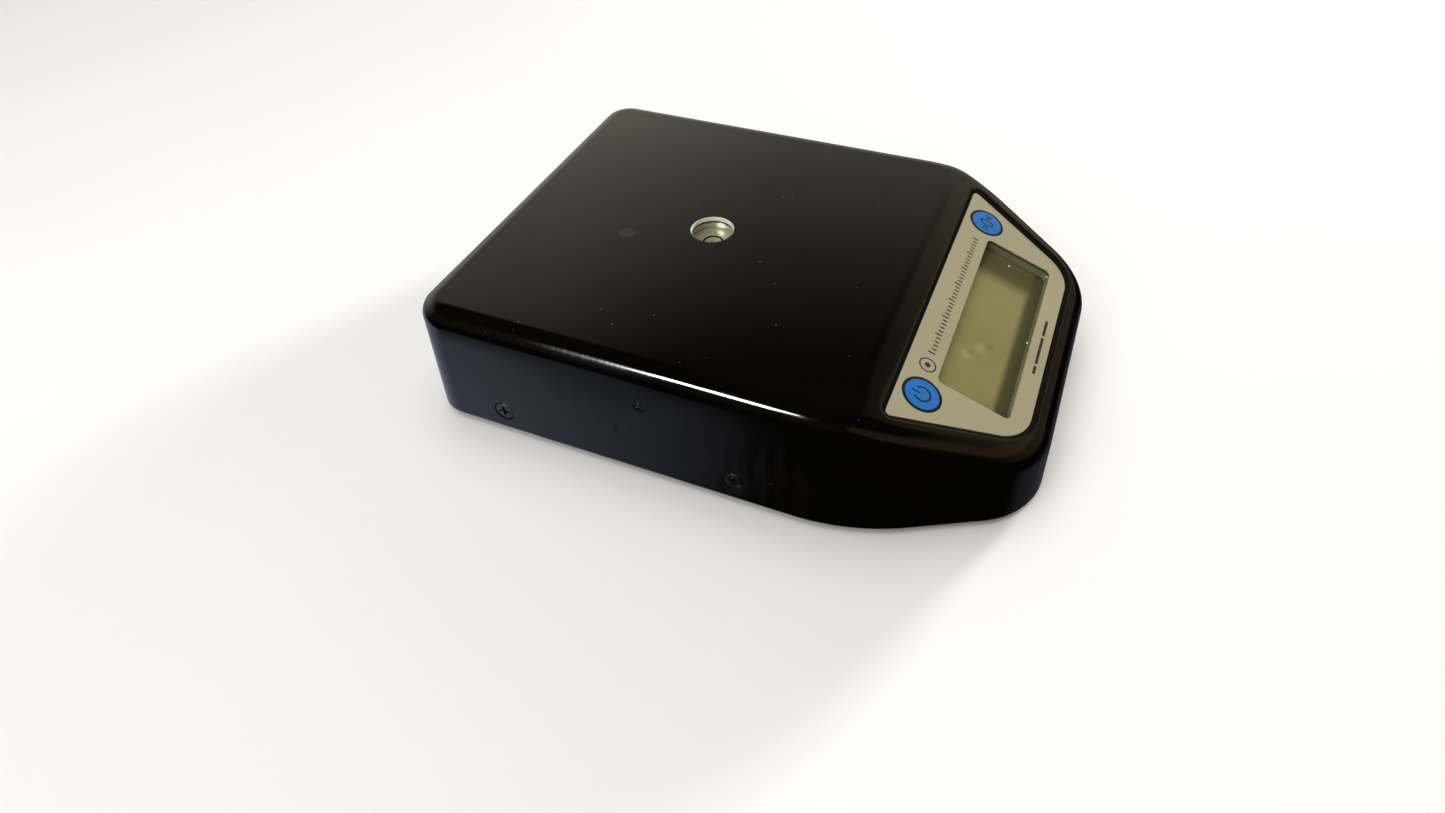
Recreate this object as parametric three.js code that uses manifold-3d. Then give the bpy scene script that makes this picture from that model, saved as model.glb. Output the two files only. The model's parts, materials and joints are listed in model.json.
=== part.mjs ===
// Low-profile electronic kitchen scale with its weighing platform lifted off.
//
// Millimetres, +Z up. The origin is the middle of the footprint, on the surface that the rubber feet
// stand on. +Y points to the back, and the display panel slopes down towards -Y.
// The on/off key is on the -X side of the display and the zero key on the +X side.

import * as THREE from "three";
import { ConvexGeometry } from "three/addons/geometries/ConvexGeometry.js";
import { mergeVertices } from "three/addons/utils/BufferGeometryUtils.js";
import Module from "manifold-3d";

// ---- driving dimensions --------------------------------------------------------------------------

const GAP = 0.3; // air between two pieces that touch on the real scale
const ROUND = 32; // facets round the pieces that show

const WIDTH = 203;
const LENGTH = 276.6;
const FOOT_HEIGHT = 4;
const COVER_HEIGHT = 58;
const TOP_Z = FOOT_HEIGHT + COVER_HEIGHT;
const WALL = 2.2;
const DRAFT = THREE.MathUtils.degToRad(3.2); // the side walls lean in towards the top
const EDGE_RADIUS = 8; // between the walls and the top
const TAPER_Y = -70.2; // where the sides start to narrow towards the front
const FRONT_HALF_WIDTH = 65.2;
const BACK_CORNER = 17.9;
const TAPER_CORNER = 100;
const FRONT_CORNER = 35.1;
const CREASE_Y = -63; // where the flat top turns into the sloping panel
const SLOPE = THREE.MathUtils.degToRad(20.5);

const HUB_Y = 32.2;
const HUB_HOLE_RADIUS = 10.35;
const SIDE_SCREW_YS = [94.7, -19.1];
const SIDE_SCREW_Z = FOOT_HEIGHT + 9.5;

// The display panel is drawn flat in its own frame: x across, y up the slope from the crease (so every
// y is negative), z out of the panel, with z = 0 on the outer surface of the slope.
const LABEL_TOP = -12.2;
const LABEL_BOTTOM = -68.6;
const LABEL_TOP_HALF = 81.4;
const LABEL_BOTTOM_HALF = 56.3;
const LABEL_DEPTH = 0.96; // from the rim down to the face of the label
const LABEL_THICKNESS = 0.6;
const WINDOW_WIDTH = 102.1;
const WINDOW_HEIGHT = 33;
const WINDOW_Y = -43.4;
const KEY_X = 62;
const KEY_Y = -23.3;
const KEY_RADIUS = 8.6;
const KEY_TRAVEL = 0.4;
const SEAT_DEPTH = 4.5; // how far the thick seat under the label reaches in

const PAN_THICKNESS = 1.5;
const PAN_TOP = FOOT_HEIGHT + PAN_THICKNESS;

const CELL_LENGTH = 130;
const CELL_WIDTH = 30;
const CELL_HEIGHT = 22;
const CELL_Z = PAN_TOP + GAP + 6 + GAP; // on a 6 mm mounting block
const LOAD_TRAVEL = 0.4; // how far a full load bends the load cell
const CELL_BOLT_OFFSETS = [6, 20]; // from the end of the cell

const BATTERY = { length: 48.5, width: 26.5, height: 17.5 };
const BATTERY_X = 62;
const BATTERY_Y = 38;

// ---- shape helpers -------------------------------------------------------------------------------

const wasm = await Module();
wasm.setup();

/** A closed mesh as a solid that can be joined and cut. */
function solid(geometry) {
  const bare = geometry.clone();
  bare.deleteAttribute("normal");
  bare.deleteAttribute("uv");
  const merged = mergeVertices(bare, 1e-4);
  return new wasm.Manifold(
    new wasm.Mesh({
      numProp: 3,
      vertProperties: new Float32Array(merged.attributes.position.array),
      triVerts: new Uint32Array(merged.index.array),
    }),
  );
}

/** A solid turned back into a geometry. */
function geometryOf(manifold) {
  const mesh = manifold.getMesh();
  const geometry = new THREE.BufferGeometry();
  geometry.setAttribute("position", new THREE.BufferAttribute(mesh.vertProperties, 3));
  geometry.setIndex(new THREE.BufferAttribute(mesh.triVerts, 1));
  geometry.computeVertexNormals();
  return geometry;
}

function join(first, ...others) {
  return geometryOf(others.reduce((sum, one) => sum.add(solid(one)), solid(first)));
}

function cut(first, ...tools) {
  return geometryOf(tools.reduce((rest, tool) => rest.subtract(solid(tool)), solid(first)));
}

function common(first, second) {
  return geometryOf(solid(first).intersect(solid(second)));
}

/** A box given by its lowest corner and its size. */
function box(x, y, z, width, depth, height) {
  return new THREE.BoxGeometry(width, depth, height).translate(
    x + width / 2,
    y + depth / 2,
    z + height / 2,
  );
}

/** An upright cylinder that stands on z. */
function cylinder(radius, height, x = 0, y = 0, z = 0, sides = 16) {
  return new THREE.CylinderGeometry(radius, radius, height, sides)
    .rotateX(Math.PI / 2)
    .translate(x, y, z + height / 2);
}

/** A body turned about +Z from [radius, z] pairs, listed from the bottom of the axis to its top. */
function turned(profile, sides = 16) {
  const points = profile.map(([radius, z]) => new THREE.Vector2(radius, z));
  return new THREE.LatheGeometry(points, sides).rotateX(Math.PI / 2);
}

/** A flat plate of the given outline, from z up to z + thickness. */
function plate(outline, z, thickness) {
  const shape = new THREE.Shape(outline.map(({ x, y }) => new THREE.Vector2(x, y)));
  return new THREE.ExtrudeGeometry(shape, { depth: thickness, bevelEnabled: false }).translate(0, 0, z);
}

/**
 * A convex outline with rounded corners, anticlockwise. Each corner is {x, y, r, steps}.
 * Each point of the result carries the outward normal, so the outline can be grown by any distance.
 */
function roundedOutline(corners, grow = 0) {
  const points = [];
  corners.forEach((corner, i) => {
    const here = new THREE.Vector2(corner.x, corner.y);
    const before = corners.at(i - 1);
    const after = corners[(i + 1) % corners.length];
    const arriving = here.clone().sub(before).normalize();
    const leaving = new THREE.Vector2(after.x, after.y).sub(here).normalize();
    const turn = Math.acos(arriving.dot(leaving));
    const start = here.clone().addScaledVector(arriving, -corner.r * Math.tan(turn / 2));
    const normal = new THREE.Vector2(arriving.y, -arriving.x);
    const centre = start.clone().addScaledVector(normal, -corner.r);
    for (let k = 0; k <= corner.steps; k++) {
      const angle = normal.angle() + (turn * k) / corner.steps;
      const nx = Math.cos(angle);
      const ny = Math.sin(angle);
      const reach = corner.r + grow;
      points.push({ x: centre.x + nx * reach, y: centre.y + ny * reach, nx, ny });
    }
  });
  return points;
}

function roundedRectangle(width, height, r, { x = 0, y = 0, steps = 3 } = {}) {
  const signs = [
    [1, 1],
    [-1, 1],
    [-1, -1],
    [1, -1],
  ];
  return roundedOutline(
    signs.map(([sx, sy]) => ({ x: x + (sx * width) / 2, y: y + (sy * height) / 2, r, steps })),
  );
}

/** A round lead of the given diameter along a smooth route. */
function lead(diameter, route, steps) {
  const section = new THREE.Shape(
    Array.from({ length: 8 }, (_, i) => {
      const angle = (i * Math.PI) / 4;
      return new THREE.Vector2(Math.cos(angle), Math.sin(angle)).multiplyScalar(diameter / 2);
    }),
  );
  const path = new THREE.CatmullRomCurve3(route.map((point) => new THREE.Vector3(...point)));
  return new THREE.ExtrudeGeometry(section, { steps, extrudePath: path, bevelEnabled: false });
}

/** A cross recess of a screw whose head ends at z = 0 and points up. */
function crossRecess(reach, depth) {
  const thickness = reach * 0.36;
  return join(
    box(-reach, -thickness / 2, -depth, reach * 2, thickness, depth + 1),
    box(-thickness / 2, -reach, -depth, thickness, reach * 2, depth + 1),
  );
}

// ---- the object's tree ---------------------------------------------------------------------------

const scale = new THREE.Group();
const panel = new THREE.Group(); // carries the panel's own frame
panel.position.set(0, CREASE_Y, TOP_Z);
panel.rotation.x = SLOPE;
panel.updateMatrix();
scale.add(panel);

function add(parent, name, geometry, look, place = [0, 0, 0]) {
  const mesh = new THREE.Mesh(geometry, new THREE.MeshStandardMaterial(look));
  mesh.name = name;
  mesh.position.set(...place);
  parent.add(mesh);
  return mesh;
}

const LOOKS = {
  blackShell: { color: 0x0e0d0b, roughness: 0.16, metalness: 0 },
  blackSteel: { color: 0x1a1a1b, roughness: 0.4, metalness: 1 },
  zincSteel: { color: 0x9a9c9e, roughness: 0.38, metalness: 1 },
  aluminium: { color: 0xc9c6bd, roughness: 0.3, metalness: 1 },
  rubber: { color: 0x141414, roughness: 0.85, metalness: 0 },
  label: { color: 0xaea88a, roughness: 0.5, metalness: 0 },
  clear: { color: 0xe8ead8, roughness: 0.06, metalness: 0, transparent: true, opacity: 0.25 },
  blueKey: { color: 0x2b72b8, roughness: 0.4, metalness: 0 },
  lcd: { color: 0x85804f, roughness: 0.2, metalness: 0 },
  bezel: { color: 0x5a4f36, roughness: 0.6, metalness: 0 },
  darkPlastic: { color: 0x1d1d1c, roughness: 0.5, metalness: 0 },
  board: { color: 0x1f5a34, roughness: 0.45, metalness: 0 },
  chip: { color: 0x18191b, roughness: 0.5, metalness: 0 },
  whitePlastic: { color: 0xd9d6c8, roughness: 0.5, metalness: 0 },
  battery: { color: 0x4a4d52, roughness: 0.35, metalness: 0.6 },
  greyLead: { color: 0x55585c, roughness: 0.6, metalness: 0 },
  redLead: { color: 0x9b1c1c, roughness: 0.55, metalness: 0 },
};

// ---- cover ---------------------------------------------------------------------------------------

const FOOTPRINT = [
  { x: WIDTH / 2, y: LENGTH / 2, r: BACK_CORNER, steps: 5 },
  { x: -WIDTH / 2, y: LENGTH / 2, r: BACK_CORNER, steps: 5 },
  { x: -WIDTH / 2, y: TAPER_Y, r: TAPER_CORNER, steps: 4 },
  { x: -FRONT_HALF_WIDTH, y: -LENGTH / 2, r: FRONT_CORNER, steps: 6 },
  { x: FRONT_HALF_WIDTH, y: -LENGTH / 2, r: FRONT_CORNER, steps: 6 },
  { x: WIDTH / 2, y: TAPER_Y, r: TAPER_CORNER, steps: 4 },
];

/** Height of the outer surface at y, or of the surface that lies inset below it. */
function surfaceZ(y, inset) {
  const flat = TOP_Z - inset;
  const sloping = TOP_Z - inset / Math.cos(SLOPE) - (CREASE_Y - y) * Math.tan(SLOPE);
  return Math.min(flat, sloping);
}

/** The whole form of the cover as one solid, shrunk by inset and starting at height from. */
function coverForm(inset, from) {
  const radius = EDGE_RADIUS - inset;
  const ring = roundedOutline(FOOTPRINT, -inset);
  const points = [];
  const push = (point, shrink, z) => {
    const lean = shrink + Math.tan(DRAFT) * (z - FOOT_HEIGHT);
    points.push(new THREE.Vector3(point.x - point.nx * lean, point.y - point.ny * lean, z));
  };
  const STEPS = 4;
  for (const point of ring) {
    push(point, 0, from);
    for (let k = 0; k <= STEPS; k++) {
      const angle = (k / STEPS) * (Math.PI / 2);
      const shrink = radius * (1 - Math.cos(angle));
      const top = surfaceZ(point.y - point.ny * shrink, inset);
      push(point, shrink, top - radius * (1 - Math.sin(angle)));
    }
  }
  return new ConvexGeometry(points);
}

const LABEL_CORNERS = [
  { x: LABEL_TOP_HALF, y: LABEL_TOP, r: 2, steps: 2 },
  { x: -LABEL_TOP_HALF, y: LABEL_TOP, r: 2, steps: 2 },
  { x: -LABEL_BOTTOM_HALF, y: LABEL_BOTTOM, r: 19, steps: 6 },
  { x: LABEL_BOTTOM_HALF, y: LABEL_BOTTOM, r: 19, steps: 6 },
];
const RECESS_FLARE = 2.8; // how far the rim's inner edge stands outside the label at the surface
const RECESS_FLOOR = LABEL_DEPTH + LABEL_THICKNESS + GAP;
const LENS_THICKNESS = 0.7;
const LENS_WIDTH = 105.4;
const LENS_HEIGHT = 36.4;
const KEY_DISC_TOP = LABEL_DEPTH - 0.06;
const KEY_DISC_THICKNESS = 1;
const KEY_POCKET_FLOOR = KEY_DISC_TOP + KEY_DISC_THICKNESS + KEY_TRAVEL + 0.5;
const STEM_RADIUS = 2.5;
const BOARD_TOP = 12; // depth of the circuit board's upper face below the rim
const BOARD_THICKNESS = 1.6;
const BOARD_POSTS = [
  [-44, -17.5],
  [44, -17.5],
  [-40, -68.5],
  [40, -68.5],
];

/** Puts a geometry drawn in the panel's frame where the panel is. */
function onPanel(geometry) {
  return geometry.applyMatrix4(panel.matrix);
}

/** The label's recess: straight beside the label, then flaring out to the rim. */
function labelRecess() {
  const levels = [
    [GAP, -RECESS_FLOOR],
    [GAP, -LABEL_DEPTH],
    [RECESS_FLARE, 0],
    [RECESS_FLARE + 1, 0.6],
  ];
  const points = levels.flatMap(([grow, z]) =>
    roundedOutline(LABEL_CORNERS, grow).map(({ x, y }) => new THREE.Vector3(x, y, z)),
  );
  return onPanel(new ConvexGeometry(points));
}

/** The thick seat that the label, the lens and the circuit board's posts stand on. */
function panelSeat() {
  const outline = roundedOutline(LABEL_CORNERS, 6);
  const thickness = SEAT_DEPTH - WALL + 1;
  return onPanel(plate(outline, -SEAT_DEPTH, thickness));
}

const JACK_X = 62;
const JACK = { width: 14, depth: 14, height: 11 };
const JACK_NOTCH_TOP = PAN_TOP + GAP + JACK.height + GAP + 0.3;

const BOSS_RADIUS = 7;
const BOSS_REACH = 2.4; // how far a screw boss stands in from the inner wall
const HEAD_RADIUS = 4.7;
const HEAD_HEIGHT = 2.4;
const SHANK_RADIUS = 2;

/** Where the outer wall is at the height of the side screws. */
const SIDE_X = WIDTH / 2 - Math.tan(DRAFT) * (SIDE_SCREW_Z - FOOT_HEIGHT);

/** Turns a piece drawn along +Z so that it points out of the side wall on the given side. */
function onSide(geometry, side, y) {
  return geometry.rotateY((side * Math.PI) / 2).translate(side * SIDE_X, y, SIDE_SCREW_Z);
}

/** The side and the y of each screw that holds the cover to the pan. */
function screwPlaces() {
  return [-1, 1].flatMap((side) => SIDE_SCREW_YS.map((y) => ({ side, y })));
}

function makeCover() {
  const outer = coverForm(0, FOOT_HEIGHT);
  let shell = cut(outer, coverForm(WALL, FOOT_HEIGHT - 1));
  const seat = panelSeat();
  const posts = BOARD_POSTS.map(([x, y]) =>
    onPanel(cylinder(3.2, BOARD_TOP - GAP - SEAT_DEPTH + 0.5, x, y, -BOARD_TOP + GAP, 10)),
  );
  const bosses = screwPlaces().map(({ side, y }) =>
    onSide(cylinder(BOSS_RADIUS, BOSS_REACH + WALL, 0, 0, -BOSS_REACH - WALL - 0.1), side, y),
  );
  shell = join(shell, common(seat, outer), ...posts, ...bosses.map((boss) => common(boss, outer)));

  const displayHole = roundedRectangle(LENS_WIDTH + 2 * GAP, LENS_HEIGHT + 2 * GAP, 2, { y: WINDOW_Y });
  const keyHoles = [-KEY_X, KEY_X].flatMap((x) => [
    onPanel(cylinder(KEY_RADIUS + 0.6, KEY_POCKET_FLOOR, x, KEY_Y, -KEY_POCKET_FLOOR, 24)),
    onPanel(cylinder(STEM_RADIUS + 0.7, SEAT_DEPTH + 2, x, KEY_Y, -SEAT_DEPTH - 1)),
  ]);
  const postBores = BOARD_POSTS.map(([x, y]) => onPanel(cylinder(1.6, 6, x, y, -BOARD_TOP, 12)));
  const sinks = screwPlaces().map(({ side, y }) =>
    onSide(
      turned([
        [0, -8],
        [SHANK_RADIUS + GAP, -8],
        [SHANK_RADIUS + GAP, -HEAD_HEIGHT - 0.4],
        [HEAD_RADIUS + GAP, -0.4],
        [HEAD_RADIUS + GAP, 2],
        [0, 2],
      ]),
      side,
      y,
    ),
  );
  return cut(
    shell,
    labelRecess(),
    onPanel(plate(displayHole, -SEAT_DEPTH - 1, 4)),
    ...keyHoles,
    ...postBores,
    ...sinks,
    cylinder(HUB_HOLE_RADIUS, 10, 0, HUB_Y, TOP_Z - 6, ROUND),
    box(JACK_X - JACK.width / 2 - GAP, LENGTH / 2 - 8, 0, JACK.width + 2 * GAP, 12, JACK_NOTCH_TOP),
  );
}

add(scale, "top_cover", makeCover(), LOOKS.blackShell);

/** A countersunk cross-recess screw whose head's face is at z = 0. */
function countersunkScrew() {
  const blank = turned([
    [0, -12],
    [SHANK_RADIUS - 0.5, -12],
    [SHANK_RADIUS, -11],
    [SHANK_RADIUS, -HEAD_HEIGHT],
    [HEAD_RADIUS, -0.3],
    [HEAD_RADIUS, 0],
    [0, 0],
  ]);
  return cut(blank, crossRecess(2.3, 1.4));
}

screwPlaces().forEach(({ side, y }, i) => {
  const recessed = countersunkScrew().translate(0, 0, -0.35);
  add(scale, `cover_screw_${i + 1}`, onSide(recessed, side, y), LOOKS.blackSteel);
});

// ---- base pan and feet ---------------------------------------------------------------------------

const FEET = [-1, 1].flatMap((side) => [
  [side * 80, 116],
  [side * 58, -112],
]);
const FOOT_STEM_RADIUS = 2.5;
const TAB = { width: 22, height: 17, thickness: 1.5 };
/** The tab stands just inside the screw boss. */
const TAB_X = SIDE_X - WALL - BOSS_REACH - GAP - 0.2 - TAB.thickness;

const BOX_WALL = 1.5;
const SNAP_LENGTH = 7;
const BOX = {
  width: BATTERY.length + SNAP_LENGTH + 2 * BOX_WALL + 4 * GAP,
  depth: BATTERY.width + 2 * BOX_WALL + 2 * GAP,
  top: PAN_TOP + 21,
};
const DOOR_TOP = FOOT_HEIGHT - 0.4;
const DOOR_THICKNESS = 1.4;
const RAIL_BOTTOM = 1;

const CELL_FRONT = HUB_Y - CELL_LENGTH / 2;
const CELL_BACK = HUB_Y + CELL_LENGTH / 2;
const FIXED_BOLT_YS = CELL_BOLT_OFFSETS.map((offset) => CELL_FRONT + offset);
const FREE_BOLT_YS = CELL_BOLT_OFFSETS.map((offset) => CELL_BACK - offset);
const BOLT_RADIUS = 2.5;
const STOP_Y = CELL_BACK - 13;

function makePan() {
  const floor = plate(roundedOutline(FOOTPRINT, -WALL - 0.6), FOOT_HEIGHT, PAN_THICKNESS);
  const tabs = screwPlaces().map(({ side, y }) => {
    const x = side > 0 ? TAB_X : -TAB_X - TAB.thickness;
    return box(x, y - TAB.width / 2, FOOT_HEIGHT + 0.5, TAB.thickness, TAB.width, TAB.height);
  });
  const jackTab = box(
    JACK_X - JACK.width / 2 - 8,
    LENGTH / 2 - 9,
    FOOT_HEIGHT + 0.5,
    6,
    TAB.thickness,
    TAB.height,
  );
  const screwHoles = screwPlaces().map(({ side, y }) =>
    onSide(cylinder(SHANK_RADIUS + GAP, 14, 0, 0, -13), side, y),
  );
  const footHoles = FEET.map(([x, y]) => cylinder(FOOT_STEM_RADIUS + GAP, 6, x, y, 2, 16));
  const boltHoles = [...FIXED_BOLT_YS, STOP_Y].map((y) => cylinder(BOLT_RADIUS + GAP, 6, 0, y, 2, 16));
  const batteryHole = box(
    BATTERY_X - BOX.width / 2 - GAP,
    BATTERY_Y - BOX.depth / 2 - GAP,
    2,
    BOX.width + 2 * GAP,
    BOX.depth + 2 * GAP,
    6,
  );
  return cut(join(floor, ...tabs, jackTab), ...screwHoles, ...footHoles, ...boltHoles, batteryHole);
}

add(scale, "base_pan", makePan(), LOOKS.zincSteel);

/** A push-in rubber foot: a low pad, a stem through the pan and a bead above it. */
function makeFoot() {
  const padTop = FOOT_HEIGHT - GAP;
  const beadBottom = PAN_TOP + GAP;
  return turned([
    [0, 0],
    [6.6, 0],
    [7.5, 1],
    [8, padTop],
    [FOOT_STEM_RADIUS, padTop],
    [FOOT_STEM_RADIUS, beadBottom],
    [FOOT_STEM_RADIUS + 1.2, beadBottom],
    [FOOT_STEM_RADIUS - 0.7, beadBottom + 2.6],
    [0, beadBottom + 2.6],
  ]);
}

FEET.forEach(([x, y], i) => {
  add(scale, `foot_${i + 1}`, makeFoot(), LOOKS.rubber, [x, y, 0]);
});

// ---- load cell and what it carries ---------------------------------------------------------------

const BLOCK_HEIGHT = CELL_Z - GAP - (PAN_TOP + GAP);
const CELL_TOP = CELL_Z + CELL_HEIGHT;
const SPACER_LENGTH = 28;
const SPACER_Z = CELL_TOP + LOAD_TRAVEL + 0.1;
const SPACER_HEIGHT = 6;
const ARM_Z = SPACER_Z + SPACER_HEIGHT + GAP;
const ARM_THICKNESS = 3;
const HUB_Z = ARM_Z + ARM_THICKNESS + GAP;
const HUB_TOP = TOP_Z - WALL - 0.9;
const CUP_FLOOR = TOP_Z - 7.1;
const BOLT_SEAT = CUP_FLOOR - 2; // a counterbore in the cup's floor
const HUB_BOLT_HEAD = { radius: 4.75, height: 2.1 };

function makeMountingBlock() {
  const block = box(-CELL_WIDTH / 2, CELL_FRONT, PAN_TOP + GAP, CELL_WIDTH, SPACER_LENGTH, BLOCK_HEIGHT);
  return cut(block, ...FIXED_BOLT_YS.map((y) => cylinder(BOLT_RADIUS + GAP, 20, 0, y, PAN_TOP - 5)));
}

/** A bending beam: a bar with two holes across it that are joined by a slot. */
function makeLoadCell() {
  const bar = box(-CELL_WIDTH / 2, CELL_FRONT, CELL_Z, CELL_WIDTH, CELL_LENGTH, CELL_HEIGHT);
  const middle = CELL_Z + CELL_HEIGHT / 2;
  const eyes = [-14, 14].map((offset) =>
    cylinder(8.2, CELL_WIDTH + 4, 0, 0, -CELL_WIDTH / 2 - 2, 20)
      .rotateY(Math.PI / 2)
      .translate(0, HUB_Y + offset, middle),
  );
  const slot = box(-CELL_WIDTH, HUB_Y - 14, middle - 2.5, 2 * CELL_WIDTH, 28, 5);
  const bores = [...FIXED_BOLT_YS, ...FREE_BOLT_YS].map((y) =>
    cylinder(BOLT_RADIUS + GAP, CELL_HEIGHT + 4, 0, y, CELL_Z - 2),
  );
  return cut(bar, ...eyes, slot, ...bores);
}

/** A pan-head bolt with a hexagon socket, pointing down from z = 0 under its head. */
function socketBolt(radius, length, headRadius, headHeight) {
  const blank = turned([
    [0, -length],
    [radius - 0.5, -length],
    [radius, -length + 0.6],
    [radius, 0],
    [headRadius, 0],
    [headRadius, headHeight * 0.6],
    [headRadius * 0.82, headHeight],
    [0, headHeight],
  ]);
  return cut(blank, cylinder(headRadius * 0.5, headHeight, 0, 0, headHeight * 0.35, 6));
}

add(scale, "mounting_block", makeMountingBlock(), LOOKS.aluminium);
add(scale, "load_cell", makeLoadCell(), LOOKS.aluminium);
FIXED_BOLT_YS.forEach((y, i) => {
  const bolt = socketBolt(BOLT_RADIUS, 19, 4.5, 2.4).rotateX(Math.PI);
  add(scale, `cell_bolt_${i + 1}`, bolt, LOOKS.zincSteel, [0, y, FOOT_HEIGHT - GAP]);
});

function makeSpacer() {
  const y = CELL_BACK - SPACER_LENGTH;
  const block = box(-CELL_WIDTH / 2, y, SPACER_Z, CELL_WIDTH, SPACER_LENGTH, SPACER_HEIGHT);
  return cut(block, ...FREE_BOLT_YS.map((at) => cylinder(BOLT_RADIUS + GAP, 20, 0, at, SPACER_Z - 5)));
}

/** The plate that brings the load cell's free end back over the cell's middle. */
function makeArm() {
  const front = HUB_Y - 24;
  const outline = roundedRectangle(44, CELL_BACK - front, 8, { y: (front + CELL_BACK) / 2 });
  const holes = [HUB_Y, ...FREE_BOLT_YS].map((y) => cylinder(BOLT_RADIUS + GAP, 10, 0, y, ARM_Z - 3));
  return cut(plate(outline, ARM_Z, ARM_THICKNESS), ...holes);
}

/** The turned cup that holds the platform's stem, seen through the hole in the cover. */
function makeHub() {
  return turned(
    [
      [BOLT_RADIUS + GAP, HUB_Z],
      [17, HUB_Z],
      [17, HUB_Z + 3],
      [13.4, HUB_Z + 4],
      [13.4, HUB_TOP - 0.6],
      [12.8, HUB_TOP],
      [11.3, HUB_TOP],
      [10.7, HUB_TOP - 0.6],
      [10.7, TOP_Z - 5.9],
      [11.2, TOP_Z - 6.1],
      [11.2, TOP_Z - 6.6],
      [10.2, TOP_Z - 6.8],
      [9.7, CUP_FLOOR],
      [HUB_BOLT_HEAD.radius + 0.5, CUP_FLOOR],
      [HUB_BOLT_HEAD.radius + 0.5, BOLT_SEAT],
      [BOLT_RADIUS + GAP, BOLT_SEAT],
      [BOLT_RADIUS + GAP, HUB_Z],
    ],
    ROUND,
  );
}

add(scale, "arm_spacer", makeSpacer(), LOOKS.aluminium);
add(scale, "load_arm", makeArm(), LOOKS.zincSteel);
add(scale, "platform_hub", makeHub(), LOOKS.aluminium, [0, HUB_Y, 0]);
add(
  scale,
  "hub_bolt",
  socketBolt(BOLT_RADIUS, BOLT_SEAT + GAP - ARM_Z + 2.5, HUB_BOLT_HEAD.radius, HUB_BOLT_HEAD.height),
  LOOKS.zincSteel,
  [0, HUB_Y, BOLT_SEAT + GAP],
);
FREE_BOLT_YS.forEach((y, i) => {
  const bolt = socketBolt(BOLT_RADIUS, 26, 4.5, 3);
  add(scale, `arm_bolt_${i + 1}`, bolt, LOOKS.zincSteel, [0, y, ARM_Z + ARM_THICKNESS + GAP]);
});

const STOP_TOP = CELL_Z - LOAD_TRAVEL;

/** A set screw under the free end, with a nut that locks it to the pan. */
const stopScrew = turned([
  [0, FOOT_HEIGHT - 2],
  [BOLT_RADIUS, FOOT_HEIGHT - 2],
  [BOLT_RADIUS, STOP_TOP - 0.8],
  [BOLT_RADIUS - 0.8, STOP_TOP],
  [0, STOP_TOP],
]);
const stopNut = cut(cylinder(4.6, 3.2, 0, 0, 0, 6), cylinder(BOLT_RADIUS + GAP, 6, 0, 0, -1));
add(scale, "overload_stop", stopScrew, LOOKS.zincSteel, [0, STOP_Y, 0]);
add(scale, "stop_nut", stopNut, LOOKS.zincSteel, [0, STOP_Y, PAN_TOP + GAP]);

// ---- display panel -------------------------------------------------------------------------------

const WINDOW_OUTLINE = roundedRectangle(WINDOW_WIDTH, WINDOW_HEIGHT, 2.5, { y: WINDOW_Y });

function makeLabel() {
  const z = -LABEL_DEPTH - LABEL_THICKNESS;
  return cut(
    plate(roundedOutline(LABEL_CORNERS), z, LABEL_THICKNESS),
    plate(WINDOW_OUTLINE, z - 1, 3),
    ...[-KEY_X, KEY_X].map((x) => cylinder(KEY_RADIUS + GAP, 3, x, KEY_Y, z - 1, ROUND)),
  );
}

const STEM_BOTTOM = 7.6;

/** A key: a thin disc with a stem that reaches down to its switch. Its origin is the disc's face. */
function makeKey() {
  return turned(
    [
      [0, KEY_DISC_TOP - STEM_BOTTOM],
      [STEM_RADIUS, KEY_DISC_TOP - STEM_BOTTOM],
      [STEM_RADIUS, -KEY_DISC_THICKNESS],
      [KEY_RADIUS, -KEY_DISC_THICKNESS],
      [KEY_RADIUS, -0.2],
      [KEY_RADIUS - 0.5, 0],
      [0, 0],
    ],
    ROUND,
  );
}

/** A tactile switch: a square body with a round plunger, standing on the circuit board. */
function makeSwitch() {
  const bottom = -BOARD_TOP + GAP;
  const plungerTop = -STEM_BOTTOM - KEY_TRAVEL - 0.1;
  const body = box(-3.5, -3.5, bottom, 7, 7, 2.6);
  return join(body, cylinder(1.8, plungerTop - bottom - 2, 0, 0, bottom + 2, 16));
}

add(panel, "panel_label", makeLabel(), LOOKS.label);
add(
  panel,
  "display_window",
  plate(
    roundedRectangle(LENS_WIDTH, LENS_HEIGHT, 2, { y: WINDOW_Y }),
    -RECESS_FLOOR - LENS_THICKNESS,
    LENS_THICKNESS,
  ),
  LOOKS.clear,
);
for (const [name, x] of [
  ["on_off", -KEY_X],
  ["zero", KEY_X],
]) {
  add(panel, `${name}_key`, makeKey(), LOOKS.blueKey, [x, KEY_Y, -KEY_DISC_TOP]);
  add(panel, `${name}_switch`, makeSwitch(), LOOKS.darkPlastic, [x, KEY_Y, 0]);
}

const GLASS = { width: 108, height: 38, thickness: 2.2, top: 6.5 };
const FRAME_WALL = 2;
const STRIP_THICKNESS = 2.4;
const COLLAR_MARGIN = 0.35; // the collar's opening is this much larger than the window on each side

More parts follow.
